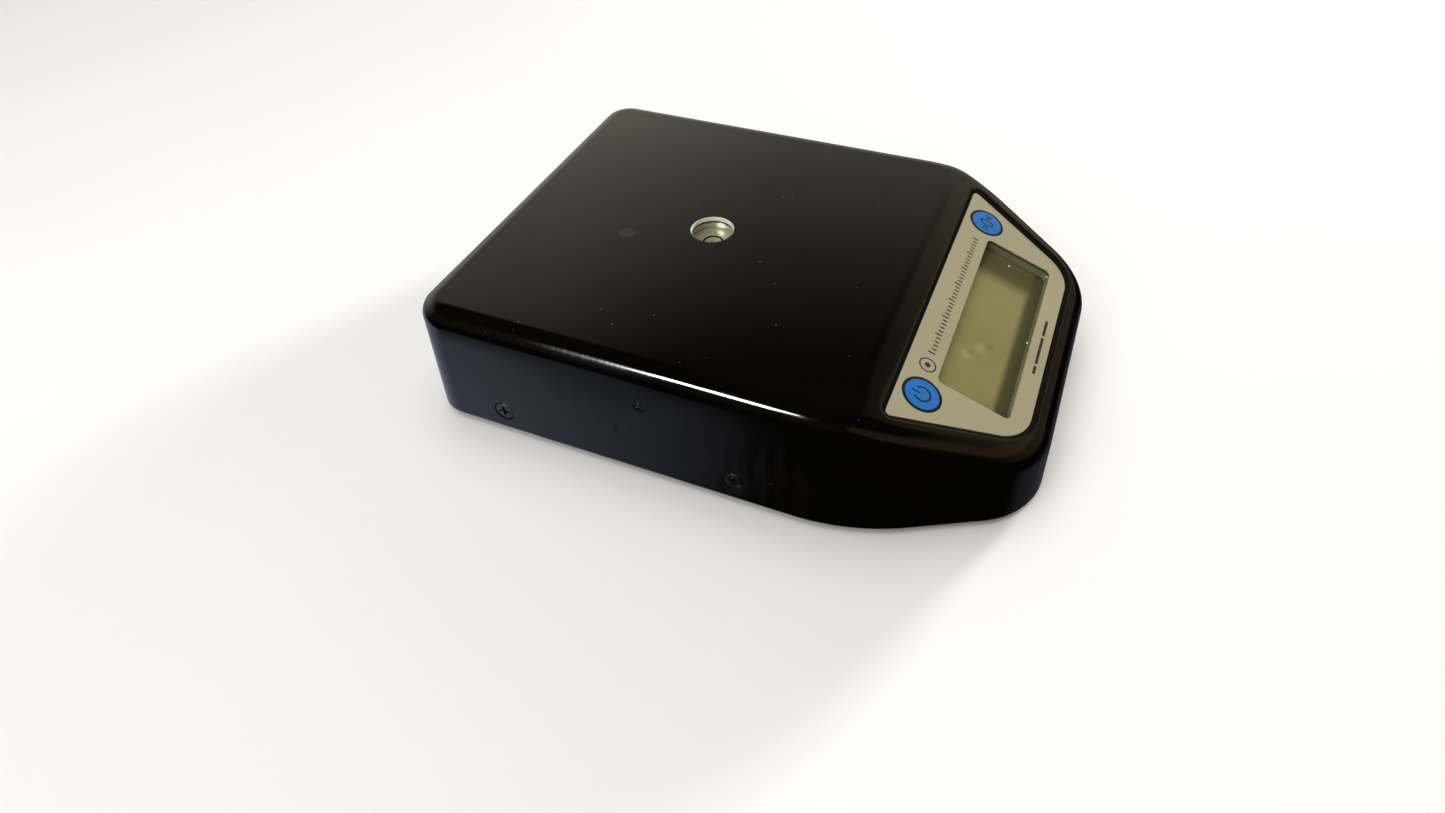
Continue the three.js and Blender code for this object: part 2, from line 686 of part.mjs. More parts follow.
/**
 * The bezel that holds the glass and its contact strips down on the circuit board. Its collar lines the
 * hole in the cover's seat and carries the lens.
 */
function makeLcdFrame() {
  const rectangle = (width, height, r) => roundedRectangle(width, height, r, { y: WINDOW_Y });
  const inner = [GLASS.width + 2 * GAP, GLASS.height + 2 * GAP];
  const outer = inner.map((side) => side + 2 * FRAME_WALL);
  const opening = [WINDOW_WIDTH + 2 * COLLAR_MARGIN, WINDOW_HEIGHT + 2 * COLLAR_MARGIN];
  const bottom = -BOARD_TOP + GAP;
  const lipBottom = -GLASS.top + GAP;
  const lipTop = -SEAT_DEPTH - GAP;
  const collarTop = -RECESS_FLOOR - LENS_THICKNESS - GAP;
  return cut(
    join(
      plate(rectangle(...outer, 1.5), bottom, lipTop - bottom),
      plate(rectangle(LENS_WIDTH, LENS_HEIGHT, 1.7), lipBottom, collarTop - lipBottom),
    ),
    plate(rectangle(...inner, 0.5), bottom - 1, lipBottom - bottom + 1),
    plate(rectangle(...opening, 2.5), bottom, 20),
  );
}

add(
  panel,
  "lcd_glass",
  box(
    -GLASS.width / 2,
    WINDOW_Y - GLASS.height / 2,
    -GLASS.top - GLASS.thickness,
    GLASS.width,
    GLASS.height,
    GLASS.thickness,
  ),
  LOOKS.lcd,
);
add(panel, "lcd_frame", makeLcdFrame(), LOOKS.bezel);
[-1, 1].forEach((end, i) => {
  const bottom = -BOARD_TOP + GAP;
  const top = -GLASS.top - GLASS.thickness - GAP;
  const middle = WINDOW_Y + end * (GLASS.height / 2 - STRIP_THICKNESS / 2);
  add(
    panel,
    `contact_strip_${i + 1}`,
    box(
      -GLASS.width / 2 + 4,
      middle - STRIP_THICKNESS / 2,
      bottom,
      GLASS.width - 8,
      STRIP_THICKNESS,
      top - bottom,
    ),
    LOOKS.rubber,
  );
});

// ---- circuit board -------------------------------------------------------------------------------

function makeBoard() {
  const outline = roundedOutline([
    { x: 76, y: -13.5, r: 3, steps: 3 },
    { x: -76, y: -13.5, r: 3, steps: 3 },
    { x: -56, y: -73, r: 3, steps: 3 },
    { x: 56, y: -73, r: 3, steps: 3 },
  ]);
  const z = -BOARD_TOP - BOARD_THICKNESS;
  return cut(
    plate(outline, z, BOARD_THICKNESS),
    ...BOARD_POSTS.map(([x, y]) => cylinder(1.6, 4, x, y, z - 1, 12)),
  );
}

const BOARD_BOTTOM = -BOARD_TOP - BOARD_THICKNESS;
const UNDER_BOARD = BOARD_BOTTOM - GAP;

add(panel, "main_board", makeBoard(), LOOKS.board);
BOARD_POSTS.forEach(([x, y], i) => {
  const screw = turned(
    [
      [0, -2.2],
      [2.2, -2.2],
      [2.8, -1.2],
      [2.8, 0],
      [1.25, 0],
      [1.25, 6.6],
      [0, 6.6],
    ],
    16,
  );
  add(panel, `board_screw_${i + 1}`, screw, LOOKS.zincSteel, [x, y, UNDER_BOARD]);
});
add(panel, "controller_chip", box(-7, -52, UNDER_BOARD - 2, 14, 14, 2), LOOKS.chip);
add(panel, "converter_chip", box(-36, -46, UNDER_BOARD - 2, 8, 12, 2), LOOKS.chip);
const capacitor = turned([
  [0, -8],
  [2.8, -8],
  [3.15, -7.6],
  [3.15, 0],
  [0, 0],
]);
add(panel, "capacitor", capacitor, LOOKS.chip, [38, -46, UNDER_BOARD]);

const CONNECTORS = {
  cell_connector: { x: -22, pins: 5 },
  power_connector: { x: 22, pins: 4 },
};
const CONNECTOR = { pitch: 2.5, depth: 6, height: 6, y: -26 };
for (const [name, { x, pins }] of Object.entries(CONNECTORS)) {
  const width = pins * CONNECTOR.pitch + 2;
  const body = box(
    -width / 2,
    -CONNECTOR.depth / 2,
    -CONNECTOR.height,
    width,
    CONNECTOR.depth,
    CONNECTOR.height,
  );
  add(panel, name, body, LOOKS.whitePlastic, [x, CONNECTOR.y, UNDER_BOARD]);
}

/** Where a lead meets a connector, in the object's own frame. */
function socketOf(name, across = 0) {
  const { x } = CONNECTORS[name];
  const mouth = new THREE.Vector3(x + across, CONNECTOR.y, UNDER_BOARD - CONNECTOR.height - GAP);
  return mouth.applyMatrix4(panel.matrix);
}

// ---- battery and power jack ----------------------------------------------------------------------

const BOX_LEFT = BATTERY_X - BOX.width / 2;
const BOX_FRONT = BATTERY_Y - BOX.depth / 2;

/** The battery's box: open below, with two rails that carry the sliding door. */
function makeBatteryBox() {
  const outer = box(BOX_LEFT, BOX_FRONT, RAIL_BOTTOM, BOX.width, BOX.depth, BOX.top - RAIL_BOTTOM);
  const inside = box(
    BOX_LEFT + BOX_WALL,
    BOX_FRONT + BOX_WALL,
    RAIL_BOTTOM + 0.8,
    BOX.width - 2 * BOX_WALL,
    BOX.depth - 2 * BOX_WALL,
    BOX.top - RAIL_BOTTOM - 0.8 - BOX_WALL,
  );
  const mouth = box(
    BOX_LEFT + BOX_WALL + 1.5,
    BOX_FRONT - 1,
    0,
    BOX.width - 2 * BOX_WALL - 3,
    BOX.depth + 2,
    RAIL_BOTTOM + 0.9,
  );
  const doorway = box(
    BOX_LEFT + BOX_WALL,
    BOX_FRONT - 1,
    RAIL_BOTTOM + 0.8,
    BOX.width - 2 * BOX_WALL,
    BOX.depth + 2,
    DOOR_TOP + GAP - RAIL_BOTTOM - 0.8,
  );
  const leadHole = box(BOX_LEFT - 1, BATTERY_Y - 4, 13, 4, 8, 4);
  return cut(outer, inside, mouth, doorway, leadHole);
}

/** The sliding door, with low ridges for a thumb. */
function makeDoor() {
  const width = BOX.width - 2 * BOX_WALL - 2 * GAP;
  const x = BATTERY_X - width / 2;
  const bottom = DOOR_TOP - DOOR_THICKNESS;
  const lid = box(x, BOX_FRONT, bottom, width, BOX.depth, DOOR_THICKNESS);
  const ridges = Array.from({ length: 5 }, (_, i) =>
    box(BATTERY_X - 9, BOX_FRONT + BOX.depth - 9 + i * 1.6, bottom - 0.5, 18, 0.8, 0.8),
  );
  return join(lid, ...ridges);
}

const BATTERY_Z = PAN_TOP;
const BATTERY_LEFT = BOX_LEFT + BOX_WALL + GAP + SNAP_LENGTH + GAP;

function makeBattery() {
  const { length, width, height } = BATTERY;
  const body = box(BATTERY_LEFT, BATTERY_Y - width / 2, BATTERY_Z, length, width, height);
  const studs = [-6.4, 6.4].map((offset) =>
    cylinder(3, 3.6, 0, 0, -0.6, 16)
      .rotateY(-Math.PI / 2)
      .translate(BATTERY_LEFT, BATTERY_Y + offset, BATTERY_Z + height / 2),
  );
  return join(body, ...studs);
}

/** The snap that plugs onto the two studs. */
function makeSnap() {
  const left = BOX_LEFT + BOX_WALL + GAP;
  const body = box(left, BATTERY_Y - 12.5, BATTERY_Z + 2.5, SNAP_LENGTH - 0.5, 25, 12.5);
  const sockets = [-6.4, 6.4].map((offset) =>
    cylinder(3.4, 8, 0, 0, 0, 16)
      .rotateY(Math.PI / 2)
      .translate(left + 2, BATTERY_Y + offset, BATTERY_Z + BATTERY.height / 2),
  );
  return cut(body, ...sockets);
}

add(scale, "battery_box", makeBatteryBox(), LOOKS.darkPlastic);
add(scale, "battery_door", makeDoor(), LOOKS.darkPlastic);
add(scale, "battery", makeBattery(), LOOKS.battery);
add(scale, "battery_snap", makeSnap(), LOOKS.darkPlastic);

/** A barrel jack whose mouth is in the back wall. */
function makeJack() {
  const face = LENGTH / 2 - 1;
  const body = box(-JACK.width / 2, face - JACK.depth, 0, JACK.width, JACK.depth, JACK.height);
  const along = (radius, from, length) =>
    cylinder(radius, length, 0, 0, 0, 20)
      .rotateX(-Math.PI / 2)
      .translate(0, face - from, JACK.height / 2);
  const bored = cut(body, along(3.2, 10, 12));
  return join(bored, along(1, 11, 10));
}

add(scale, "power_jack", makeJack(), LOOKS.darkPlastic, [JACK_X, 0, PAN_TOP + GAP]);

// ---- leads ---------------------------------------------------------------------------------------

const LEAD_Z = PAN_TOP + 3; // leads lie along the pan
const cellSocket = socketOf("cell_connector");
const batterySocket = socketOf("power_connector", 2.5);
const jackSocket = socketOf("power_connector", -2.5);

/** The last stretch of a lead: up from the pan and straight into its connector. */
function riseTo(socket) {
  return [
    [socket.x, socket.y + 16, LEAD_Z + 8],
    [socket.x, socket.y + 5, socket.z - 8],
    [socket.x, socket.y, socket.z],
  ];
}

add(
  scale,
  "cell_lead",
  lead(
    3,
    [
      [-8, CELL_FRONT - 0.8, CELL_Z + 8],
      [-9, CELL_FRONT - 9, CELL_Z + 5],
      ...riseTo(cellSocket),
    ],
    14,
  ),
  LOOKS.greyLead,
);
add(
  scale,
  "battery_lead",
  lead(
    2,
    [
      [BOX_LEFT + BOX_WALL, BATTERY_Y, 15],
      [BOX_LEFT - 3, BATTERY_Y - 1, 14.6],
      [BOX_LEFT - 6, BATTERY_Y - 12, LEAD_Z + 1],
      [26, 0, LEAD_Z],
      [26, -40, LEAD_Z],
      ...riseTo(batterySocket),
    ],
    20,
  ),
  LOOKS.redLead,
);
add(
  scale,
  "jack_lead",
  lead(
    2,
    [
      [JACK_X, LENGTH / 2 - 1 - JACK.depth - GAP, PAN_TOP + 6],
      [JACK_X - 4, 110, LEAD_Z],
      [32, 92, LEAD_Z],
      [21, 60, LEAD_Z],
      [20, 0, LEAD_Z],
      [19.5, -50, LEAD_Z],
      ...riseTo(jackSocket),
    ],
    32,
  ),
  LOOKS.greyLead,
);

export default scale;
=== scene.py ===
"""Low kitchen scale with its platform lifted off: fine meshes, materials, light and camera.

Lengths of the part are millimetres, in the same frame as the CAD model, and become metres when a mesh is
made. The stage, the lights and the camera are placed in metres. The display panel is drawn flat in its own
frame: x across, y up the slope from the crease, z out of the panel.
"""

import json
import math

import bmesh
import bpy
from mathutils import Matrix, Vector


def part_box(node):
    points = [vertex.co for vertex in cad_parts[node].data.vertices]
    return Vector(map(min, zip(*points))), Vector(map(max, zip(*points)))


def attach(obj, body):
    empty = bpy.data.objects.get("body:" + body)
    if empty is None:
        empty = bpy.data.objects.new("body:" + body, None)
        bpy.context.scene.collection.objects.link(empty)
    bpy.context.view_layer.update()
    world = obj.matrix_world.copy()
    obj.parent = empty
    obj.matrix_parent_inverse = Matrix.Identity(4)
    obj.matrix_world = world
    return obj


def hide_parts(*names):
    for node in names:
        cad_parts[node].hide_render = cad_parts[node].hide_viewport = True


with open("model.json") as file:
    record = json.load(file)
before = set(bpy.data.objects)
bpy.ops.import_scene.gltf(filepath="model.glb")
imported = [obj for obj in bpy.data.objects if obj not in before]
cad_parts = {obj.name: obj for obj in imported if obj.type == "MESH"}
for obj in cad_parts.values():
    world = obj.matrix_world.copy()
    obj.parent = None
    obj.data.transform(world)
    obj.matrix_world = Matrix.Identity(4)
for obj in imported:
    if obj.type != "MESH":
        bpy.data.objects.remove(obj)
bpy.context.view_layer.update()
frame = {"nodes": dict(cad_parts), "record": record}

MM = 0.001
PI = math.pi

# ---- dimensions ----

GAP = 0.3  # air between two pieces that touch on the real scale


def cad_box(node):
    """Lowest and highest corner of a CAD node, in millimetres."""
    low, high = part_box(node)
    return low / MM, high / MM


COVER_LOW, COVER_HIGH = cad_box("top_cover")
HUB_LOW, HUB_HIGH = cad_box("platform_hub")

WIDTH = COVER_HIGH.x - COVER_LOW.x
LENGTH = COVER_HIGH.y - COVER_LOW.y
FOOT_HEIGHT = COVER_LOW.z
TOP_Z = COVER_HIGH.z
WALL = 2.2
DRAFT = math.tan(math.radians(3.2))  # how far the side walls lean in, per millimetre of height
EDGE_RADIUS = 8  # between the walls and the top
TAPER_Y = -70.2  # where the sides start to narrow towards the front
FRONT_HALF_WIDTH = 65.2
BACK_CORNER = 17.9
TAPER_CORNER = 100
FRONT_CORNER = 35.1
CREASE_Y = -63  # where the flat top turns into the sloping panel
SLOPE = math.radians(20.5)
CREASE_RADIUS = 12
CREASE_RADIUS_AT_SIDES = 34

HUB_Y = (HUB_LOW.y + HUB_HIGH.y) / 2
HUB_HOLE_RADIUS = 10.05
HUB_HOLE_LIP = 0.15

LABEL_TOP = -12.2
LABEL_BOTTOM = -68.6
LABEL_TOP_HALF = 81.4
LABEL_BOTTOM_HALF = 56.3
LABEL_DEPTH = 0.96  # from the rim of the recess down to the label's face
LABEL_THICKNESS = 0.6
WINDOW_WIDTH = 102.1
WINDOW_HEIGHT = 33
WINDOW_CORNER = 2.5
WINDOW_Y = -43.4
KEY_X = 62
KEY_Y = -23.3
KEY_RADIUS = 8.6
KEY_DEPTH = 0.9  # from the rim of the recess down to a key's face
SEAT_DEPTH = 4.5  # how far the thick seat under the label reaches in
RECESS_FLOOR = LABEL_DEPTH + LABEL_THICKNESS + GAP
LENS_WIDTH = 105.4
LENS_HEIGHT = 36.4
LENS_THICKNESS = 0.7
LENS_CORNER = 2
KEY_HOLE_RADIUS = KEY_RADIUS + 0.6
KEY_HOLE_FLOOR = -2.6
SWITCH_HOLE_RADIUS = 3.2
BOARD_TOP = 12  # depth of the circuit board under the panel
BOARD_POSTS = [(-44, -17.5), (44, -17.5), (-40, -68.5), (40, -68.5)]
POST_RADIUS = 3.2
PILOT_RADIUS = 1.6

SCREW_YS = (94.7, -19.1)
SCREW_PLACES = [(side, y) for side in (-1, 1) for y in SCREW_YS]
SCREW_Z = FOOT_HEIGHT + 9.5
SCREW_X = WIDTH / 2 - DRAFT * (SCREW_Z - FOOT_HEIGHT)
HEAD_RADIUS = 4.7
HEAD_HEIGHT = 2.4
SHANK_RADIUS = 2
BOSS_RADIUS = 7
BOSS_DEPTH = 4.7

PANEL = Matrix.Translation((0, CREASE_Y, TOP_Z)) @ Matrix.Rotation(SLOPE, 4, "X")

# ---- mesh helpers ----


def outline(corners, grow=0.0):
    """Rounded convex outline, anticlockwise, as (x, y, nx, ny). Corners are (x, y, radius, steps)."""
    points = []
    for i, (x, y, radius, steps) in enumerate(corners):
        here = Vector((x, y))
        before = Vector(corners[i - 1][:2])
        after = Vector(corners[(i + 1) % len(corners)][:2])
        arriving = (here - before).normalized()
        leaving = (after - here).normalized()
        turn = math.acos(max(-1, min(1, arriving.dot(leaving))))
        normal = Vector((arriving.y, -arriving.x))
        centre = here - arriving * radius * math.tan(turn / 2) - normal * radius
        first = math.atan2(normal.y, normal.x)
        for k in range(steps + 1):
            angle = first + turn * k / steps
            nx, ny = math.cos(angle), math.sin(angle)
            points.append((centre.x + nx * (radius + grow), centre.y + ny * (radius + grow), nx, ny))
    return points


def rectangle(width, height, radius, y):
    """Rounded rectangle with its centre at x = 0."""
    signs = ((1, 1), (-1, 1), (-1, -1), (1, -1))
    return outline([(sx * width / 2, y + sy * height / 2, radius, 8) for sx, sy in signs])


def circle(radius, x=0.0, y=0.0, steps=96):
    turns = [2 * PI * k / steps for k in range(steps)]
    return [(x + radius * math.cos(a), y + radius * math.sin(a), math.cos(a), math.sin(a)) for a in turns]


def loft(rings):
    """A capped solid through rings of equally many points."""
    bm = bmesh.new()
    loops = [[bm.verts.new(point) for point in ring] for ring in rings]
    count = len(loops[0])
    for lower, upper in zip(loops, loops[1:]):
        for i in range(count):
            j = (i + 1) % count
            bm.faces.new((lower[i], lower[j], upper[j], upper[i]))
    bm.faces.new(loops[0][::-1])
    bm.faces.new(loops[-1])
    return bm


def prism(points, low, high):
    return loft([[(p[0], p[1], z) for p in points] for z in (low, high)])


def turned(profile, steps):
    """A body turned about Z from (radius, z) pairs. It closes on the axis, or on itself off the axis."""
    bm = bmesh.new()
    rows = []
    for radius, z in profile:
        if radius == 0:
            rows.append([bm.verts.new((0, 0, z))])
        else:
            rows.append([bm.verts.new((x, y, z)) for x, y, _, _ in circle(radius, steps=steps)])
    pairs = list(zip(rows, rows[1:]))
    if profile[0][0] > 0:
        pairs.append((rows[-1], rows[0]))
    for lower, upper in pairs:
        for i in range(steps):
            j = (i + 1) % steps
            corners = [row[k % len(row)] for row, k in ((lower, i), (lower, j), (upper, j), (upper, i))]
            bm.faces.new(list(dict.fromkeys(corners)))
    bmesh.ops.recalc_face_normals(bm, faces=bm.faces[:])
    return bm


def rod(radius, low, high):
    """Profile of a plain round rod, for turned."""
    return [(0, low), (radius, low), (radius, high), (0, high)]


def block(low, high):
    bm = bmesh.new()
    bmesh.ops.create_cube(bm, size=1)
    size = [b - a for a, b in zip(low, high)]
    middle = [(a + b) / 2 for a, b in zip(low, high)]
    bmesh.ops.transform(bm, matrix=Matrix.Translation(middle) @ Matrix.Diagonal((*size, 1)), verts=bm.verts)
    return bm


def moved(bm, matrix):
    bmesh.ops.transform(bm, matrix=matrix, verts=bm.verts)
    return bm


def at(x=0.0, y=0.0, z=0.0):
    return Matrix.Translation((x, y, z))


def mesh_of(bm, name="scratch"):
    mesh = bpy.data.meshes.new(name)
    bm.to_mesh(mesh)
    bm.free()
    return mesh


def add_object(name, data):
    obj = bpy.data.objects.new(name, data)
    bpy.context.scene.collection.objects.link(obj)
    return obj


def boolean(bm, changes):
    """Joins or cuts bm by each (operation, tool) in turn and returns the result."""
    scratch = [add_object("scratch", mesh_of(work)) for work in [bm] + [tool for _, tool in changes]]
    for (operation, _), tool in zip(changes, scratch[1:]):
        step = scratch[0].modifiers.new("step", "BOOLEAN")
        step.operation = operation
        step.object = tool
        step.solver = "EXACT"
    graph = bpy.context.evaluated_depsgraph_get()
    graph.update()
    result = bmesh.new()
    made = bpy.data.meshes.new_from_object(scratch[0].evaluated_get(graph))
    result.from_mesh(made)
    bpy.data.meshes.remove(made)
    for obj in scratch:
        mesh = obj.data
        bpy.data.objects.remove(obj)
        bpy.data.meshes.remove(mesh)
    return result


def cut(bm, *tools):
    return boolean(bm, [("DIFFERENCE", tool) for tool in tools])


def join(bm, *tools):
    return boolean(bm, [("UNION", tool) for tool in tools])


def merged(*parts):
    """Several loose solids as one mesh."""
    whole = bmesh.new()
    for part in parts:
        mesh = mesh_of(part)
        whole.from_mesh(mesh)
        bpy.data.meshes.remove(mesh)
    return whole


def smooth(obj, bevel, angle):
    """Smooth shading with crisp corners, and a small radius on every edge sharper than angle degrees."""
    for face in obj.data.polygons:
        face.use_smooth = True
    obj.data.set_sharp_from_angle(angle=math.radians(angle))
    if bevel:
        edge = obj.modifiers.new("edges", "BEVEL")
        edge.width = bevel * MM
        edge.segments = 2
        edge.limit_method = "ANGLE"
        edge.angle_limit = math.radians(angle)
    normals = obj.modifiers.new("normals", "WEIGHTED_NORMAL")
    normals.keep_sharp = True
    normals.weight = 80


def piece(name, bm, node, material, bevel=0.0, angle=32, extra=(), marks=False):
    """Makes a finished piece that stands for a CAD node, or only rides with it if marks is set."""
    bmesh.ops.remove_doubles(bm, verts=bm.verts, dist=1e-4)
    mesh = mesh_of(bm, name)
    mesh.transform(Matrix.Scale(MM, 4))
    obj = add_object(name, mesh)
    for finish in (material, *extra):
        mesh.materials.append(finish)
    smooth(obj, bevel, angle)
    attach(obj, body_of(node))
    if not marks:
        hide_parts(node)


def dress(node, material, bevel=0.2):
    """Keeps a CAD node's own shape and gives it a finish and a small radius on its edges."""
    obj = frame["nodes"][node]
    obj.data.materials.clear()
    obj.data.materials.append(material)
    smooth(obj, bevel, 40)


BODIES = frame["record"]["behaviour"]["bodies"]


def body_of(node):
    return next(body for body, nodes in BODIES.items() if node in nodes)


# ---- material helpers ----


class Shading:
    """Short calls to build a tree of shader nodes."""

    def __init__(self, tree):
        self.tree = tree

    def node(self, kind, **settings):
        node = self.tree.nodes.new(kind)
        for key, value in settings.items():
            setattr(node, key, value)
        return node

    def link(self, source, target):
        self.tree.links.new(source, target)

    def fill(self, node, values):
        for socket, value in values.items():
            node.inputs[socket].default_value = value

    def ramp(self, value, stops):
        """A value run through (position, grey or colour) stops."""
        node = self.node("ShaderNodeValToRGB")
        elements = node.color_ramp.elements
        while len(elements) < len(stops):
            elements.new(0.5)
        for element, (position, color) in zip(elements, stops):
            element.position = position
            element.color = (*color, 1) if isinstance(color, tuple) else (color, color, color, 1)
        self.link(value, node.inputs["Fac"])
        return node.outputs["Color"]


class Finish(Shading):
    """A material with a Principled shader, and the patterns that drive it."""

    def __init__(self, name, color, roughness, metallic=0.0):
        self.material = bpy.data.materials.new(name)
        self.material.use_nodes = True
        super().__init__(self.material.node_tree)
        self.shader = self.tree.nodes["Principled BSDF"]
        self.put("Base Color", (*color, 1))
        self.put("Roughness", roughness)
        self.put("Metallic", metallic)
        self.place = self.node("ShaderNodeTexCoord").outputs["Object"]

    def feed(self, socket, value):
        """Links a pattern to a socket, or sets the socket to a number or colour."""
        if isinstance(value, bpy.types.NodeSocket):
            self.link(value, socket)
        else:
            socket.default_value = value

    def put(self, socket, value):
        self.feed(self.shader.inputs[socket], value)

    def noise(self, scale, detail=4.0, rough=0.55, stretch=None, distortion=0.0):
        node = self.node("ShaderNodeTexNoise")
        self.fill(node, {"Scale": scale, "Detail": detail, "Roughness": rough, "Distortion": distortion})
        self.link(self.stretched(stretch), node.inputs["Vector"])
        return node.outputs["Fac"]

    def stretched(self, stretch):
        if stretch is None:
            return self.place
        node = self.node("ShaderNodeMapping")
        node.inputs["Scale"].default_value = stretch
        self.link(self.place, node.inputs["Vector"])
        return node.outputs["Vector"]

    def specks(self, scale, size, share):
        """White dots: one in some of the cells of a Voronoi pattern."""
        node = self.node("ShaderNodeTexVoronoi")
        node.inputs["Scale"].default_value = scale
        self.link(self.place, node.inputs["Vector"])
        dot = self.ramp(node.outputs["Distance"], ((0.0, 1.0), (size, 0.6), (size * 1.5, 0.0)))
        split = self.node("ShaderNodeSeparateColor")
        self.link(node.outputs["Color"], split.inputs["Color"])
        chosen = self.ramp(split.outputs["Red"], ((share, 1.0), (share + 0.01, 0.0)))
        return self.math("MULTIPLY", dot, chosen)

    def near(self, point, radius, fade):
        """1 within radius of a point in millimetres, 0 beyond radius + fade."""
        node = self.node("ShaderNodeVectorMath", operation="DISTANCE")
        self.link(self.place, node.inputs[0])
        node.inputs[1].default_value = Vector(point) * MM
        return self.spread(node.outputs["Value"], radius * MM, (radius + fade) * MM, 1.0, 0.0)

    def along(self, axis, low, high, to_low, to_high):
        """A fade along one axis, between two places in millimetres."""
        node = self.node("ShaderNodeSeparateXYZ")
        self.link(self.place, node.inputs[0])
        return self.spread(node.outputs[axis], low * MM, high * MM, to_low, to_high)

    def spread(self, value, low, high, to_low, to_high):
        node = self.node("ShaderNodeMapRange")
        self.link(value, node.inputs["Value"])
        self.fill(node, {"From Min": low, "From Max": high, "To Min": to_low, "To Max": to_high})
        return node.outputs["Result"]

    def rise(self, value, low, high):
        """0 up to low, 1 from high."""
        return self.ramp(value, ((low, 0.0), (high, 1.0)))

    def math(self, operation, first, second):
        node = self.node("ShaderNodeMath", operation=operation)
        self.feed(node.inputs[0], first)
        self.feed(node.inputs[1], second)
        return node.outputs["Value"]

    def mix(self, factor, first, second):
        node = self.node("ShaderNodeMix", data_type="RGBA")
        self.link(factor, node.inputs["Factor"])
        for socket, value in ((node.inputs[6], first), (node.inputs[7], second)):
            pattern = isinstance(value, bpy.types.NodeSocket)
            self.feed(socket, value if pattern else (*value, 1))
        return node.outputs[2]

    def bump(self, height, distance):
        """Relief of the given depth in millimetres."""
        node = self.node("ShaderNodeBump")
        node.inputs["Distance"].default_value = distance * MM
        self.link(height, node.inputs["Height"])
        self.link(node.outputs["Normal"], self.shader.inputs["Normal"])


def moulded(name, color, roughness, grain=900, depth=0.02):
    """Moulded plastic or rubber with a fine grain and slightly uneven colour and gloss."""
    finish = Finish(name, color, roughness)
    clouds = finish.noise(35, 3)
    fine = finish.noise(grain, 6, 0.6)
    lighter = [c * 1.35 + 0.004 for c in color]
    finish.put("Base Color", finish.mix(finish.rise(clouds, 0.35, 0.7), color, lighter))
    finish.put("Roughness", finish.spread(fine, 0.3, 0.7, roughness - 0.08, roughness + 0.08))
    finish.bump(fine, depth)
    return finish.material


def cover_finish():
    """Gloss black skin, handled: smears, haze by one screw, a rubbed edge, dust and a few scuffs."""
    base = (0.0014, 0.0012, 0.0008)
    finish = Finish("gloss_black_cover", base, 0.1)
    clouds = finish.noise(9, 4, 0.6)
    smears = finish.noise(26, 6, 0.62, stretch=(1.0, 0.45, 1.0), distortion=0.6)
    tone = finish.mix(finish.rise(clouds, 0.36, 0.68), base, (0.0026, 0.0021, 0.0014))

    streaks = finish.rise(finish.noise(60, 5, 0.7, stretch=(1.0, 2.2, 0.5)), 0.42, 0.72)
    haze = finish.math("MULTIPLY", finish.near((-101, -22, 22), 8, 30), streaks)
    tone = finish.mix(finish.math("MULTIPLY", haze, 0.9), tone, (0.012, 0.011, 0.008))

    dirt = finish.math("MAXIMUM", finish.specks(105, 0.022, 0.10), finish.specks(330, 0.06, 0.035))
    for place in COVER_SPECKS:
        dirt = finish.math("MAXIMUM", dirt, finish.near(place, 0.12, 0.3))
    tone = finish.mix(finish.math("MULTIPLY", dirt, 0.5), tone, (0.3, 0.26, 0.2))

    torn = finish.rise(finish.noise(420, 5, 0.75), 0.46, 0.52)
    scuffs = finish.near((-15.8, 69.2, TOP_Z), 1.2, 3.6)
    for place in COVER_SCUFFS:
        scuffs = finish.math("MAXIMUM", scuffs, finish.near(place, 0.8, 3.2))
    scuffs = finish.math("MULTIPLY", scuffs, torn)
    finish.put("Base Color", finish.mix(scuffs, tone, (0.001, 0.001, 0.001)))

    gloss = finish.spread(smears, 0.35, 0.75, 0.05, 0.13)
    edge = finish.along("X", -96.5, -94.5, 1.0, 0.0)
    edge = finish.math("MULTIPLY", edge, finish.near((-98, 45, 58), 12, 45))
    rubbed = finish.spread(finish.noise(90, 4, 0.65, stretch=(0.15, 8.0, 0.15)), 0.38, 0.66, 0.7, 1.0)
    rubbed = finish.math("MULTIPLY", edge, rubbed)
    gloss = finish.math("MAXIMUM", gloss, finish.math("MULTIPLY", rubbed, 0.23))
    gloss = finish.math("MAXIMUM", gloss, finish.math("MULTIPLY", scuffs, 0.4))
    finish.put("Roughness", finish.math("MAXIMUM", gloss, finish.math("MULTIPLY", haze, 0.34)))
    grain = finish.math("MULTIPLY", finish.noise(1500, 4, 0.6), 0.02)
    finish.bump(finish.math("SUBTRACT", grain, scuffs), 0.1)
    return finish.material


def bore_finish():
    """The pale moulding under the black skin, bared where the hub's hole was bored through it."""
    finish = Finish("bare_bore", (0.88, 0.86, 0.76), 0.45)
    turning = finish.noise(300, 4, 0.6, stretch=(0.1, 0.1, 12.0))
    finish.put("Base Color", finish.mix(turning, (0.92, 0.90, 0.80), (0.82, 0.80, 0.69)))
    finish.bump(turning, 0.01)
    return finish.material


def label_finish():
    """Printed polyester film, khaki grey, with a very fine stipple."""
    finish = Finish("label_film", (0.285, 0.263, 0.17), 0.42)
    clouds = finish.noise(22, 3)
    stipple = finish.noise(2600, 3, 0.6)
    tone = finish.mix(finish.rise(clouds, 0.3, 0.75), (0.275, 0.253, 0.163), (0.3, 0.277, 0.182))
    marks = finish.math("MULTIPLY", finish.specks(150, 0.03, 0.08), 0.5)
    finish.put("Base Color", finish.mix(marks, tone, (0.2, 0.18, 0.13)))
    finish.put("Roughness", finish.spread(stipple, 0.3, 0.7, 0.36, 0.5))
    finish.bump(stipple, 0.006)
    return finish.material


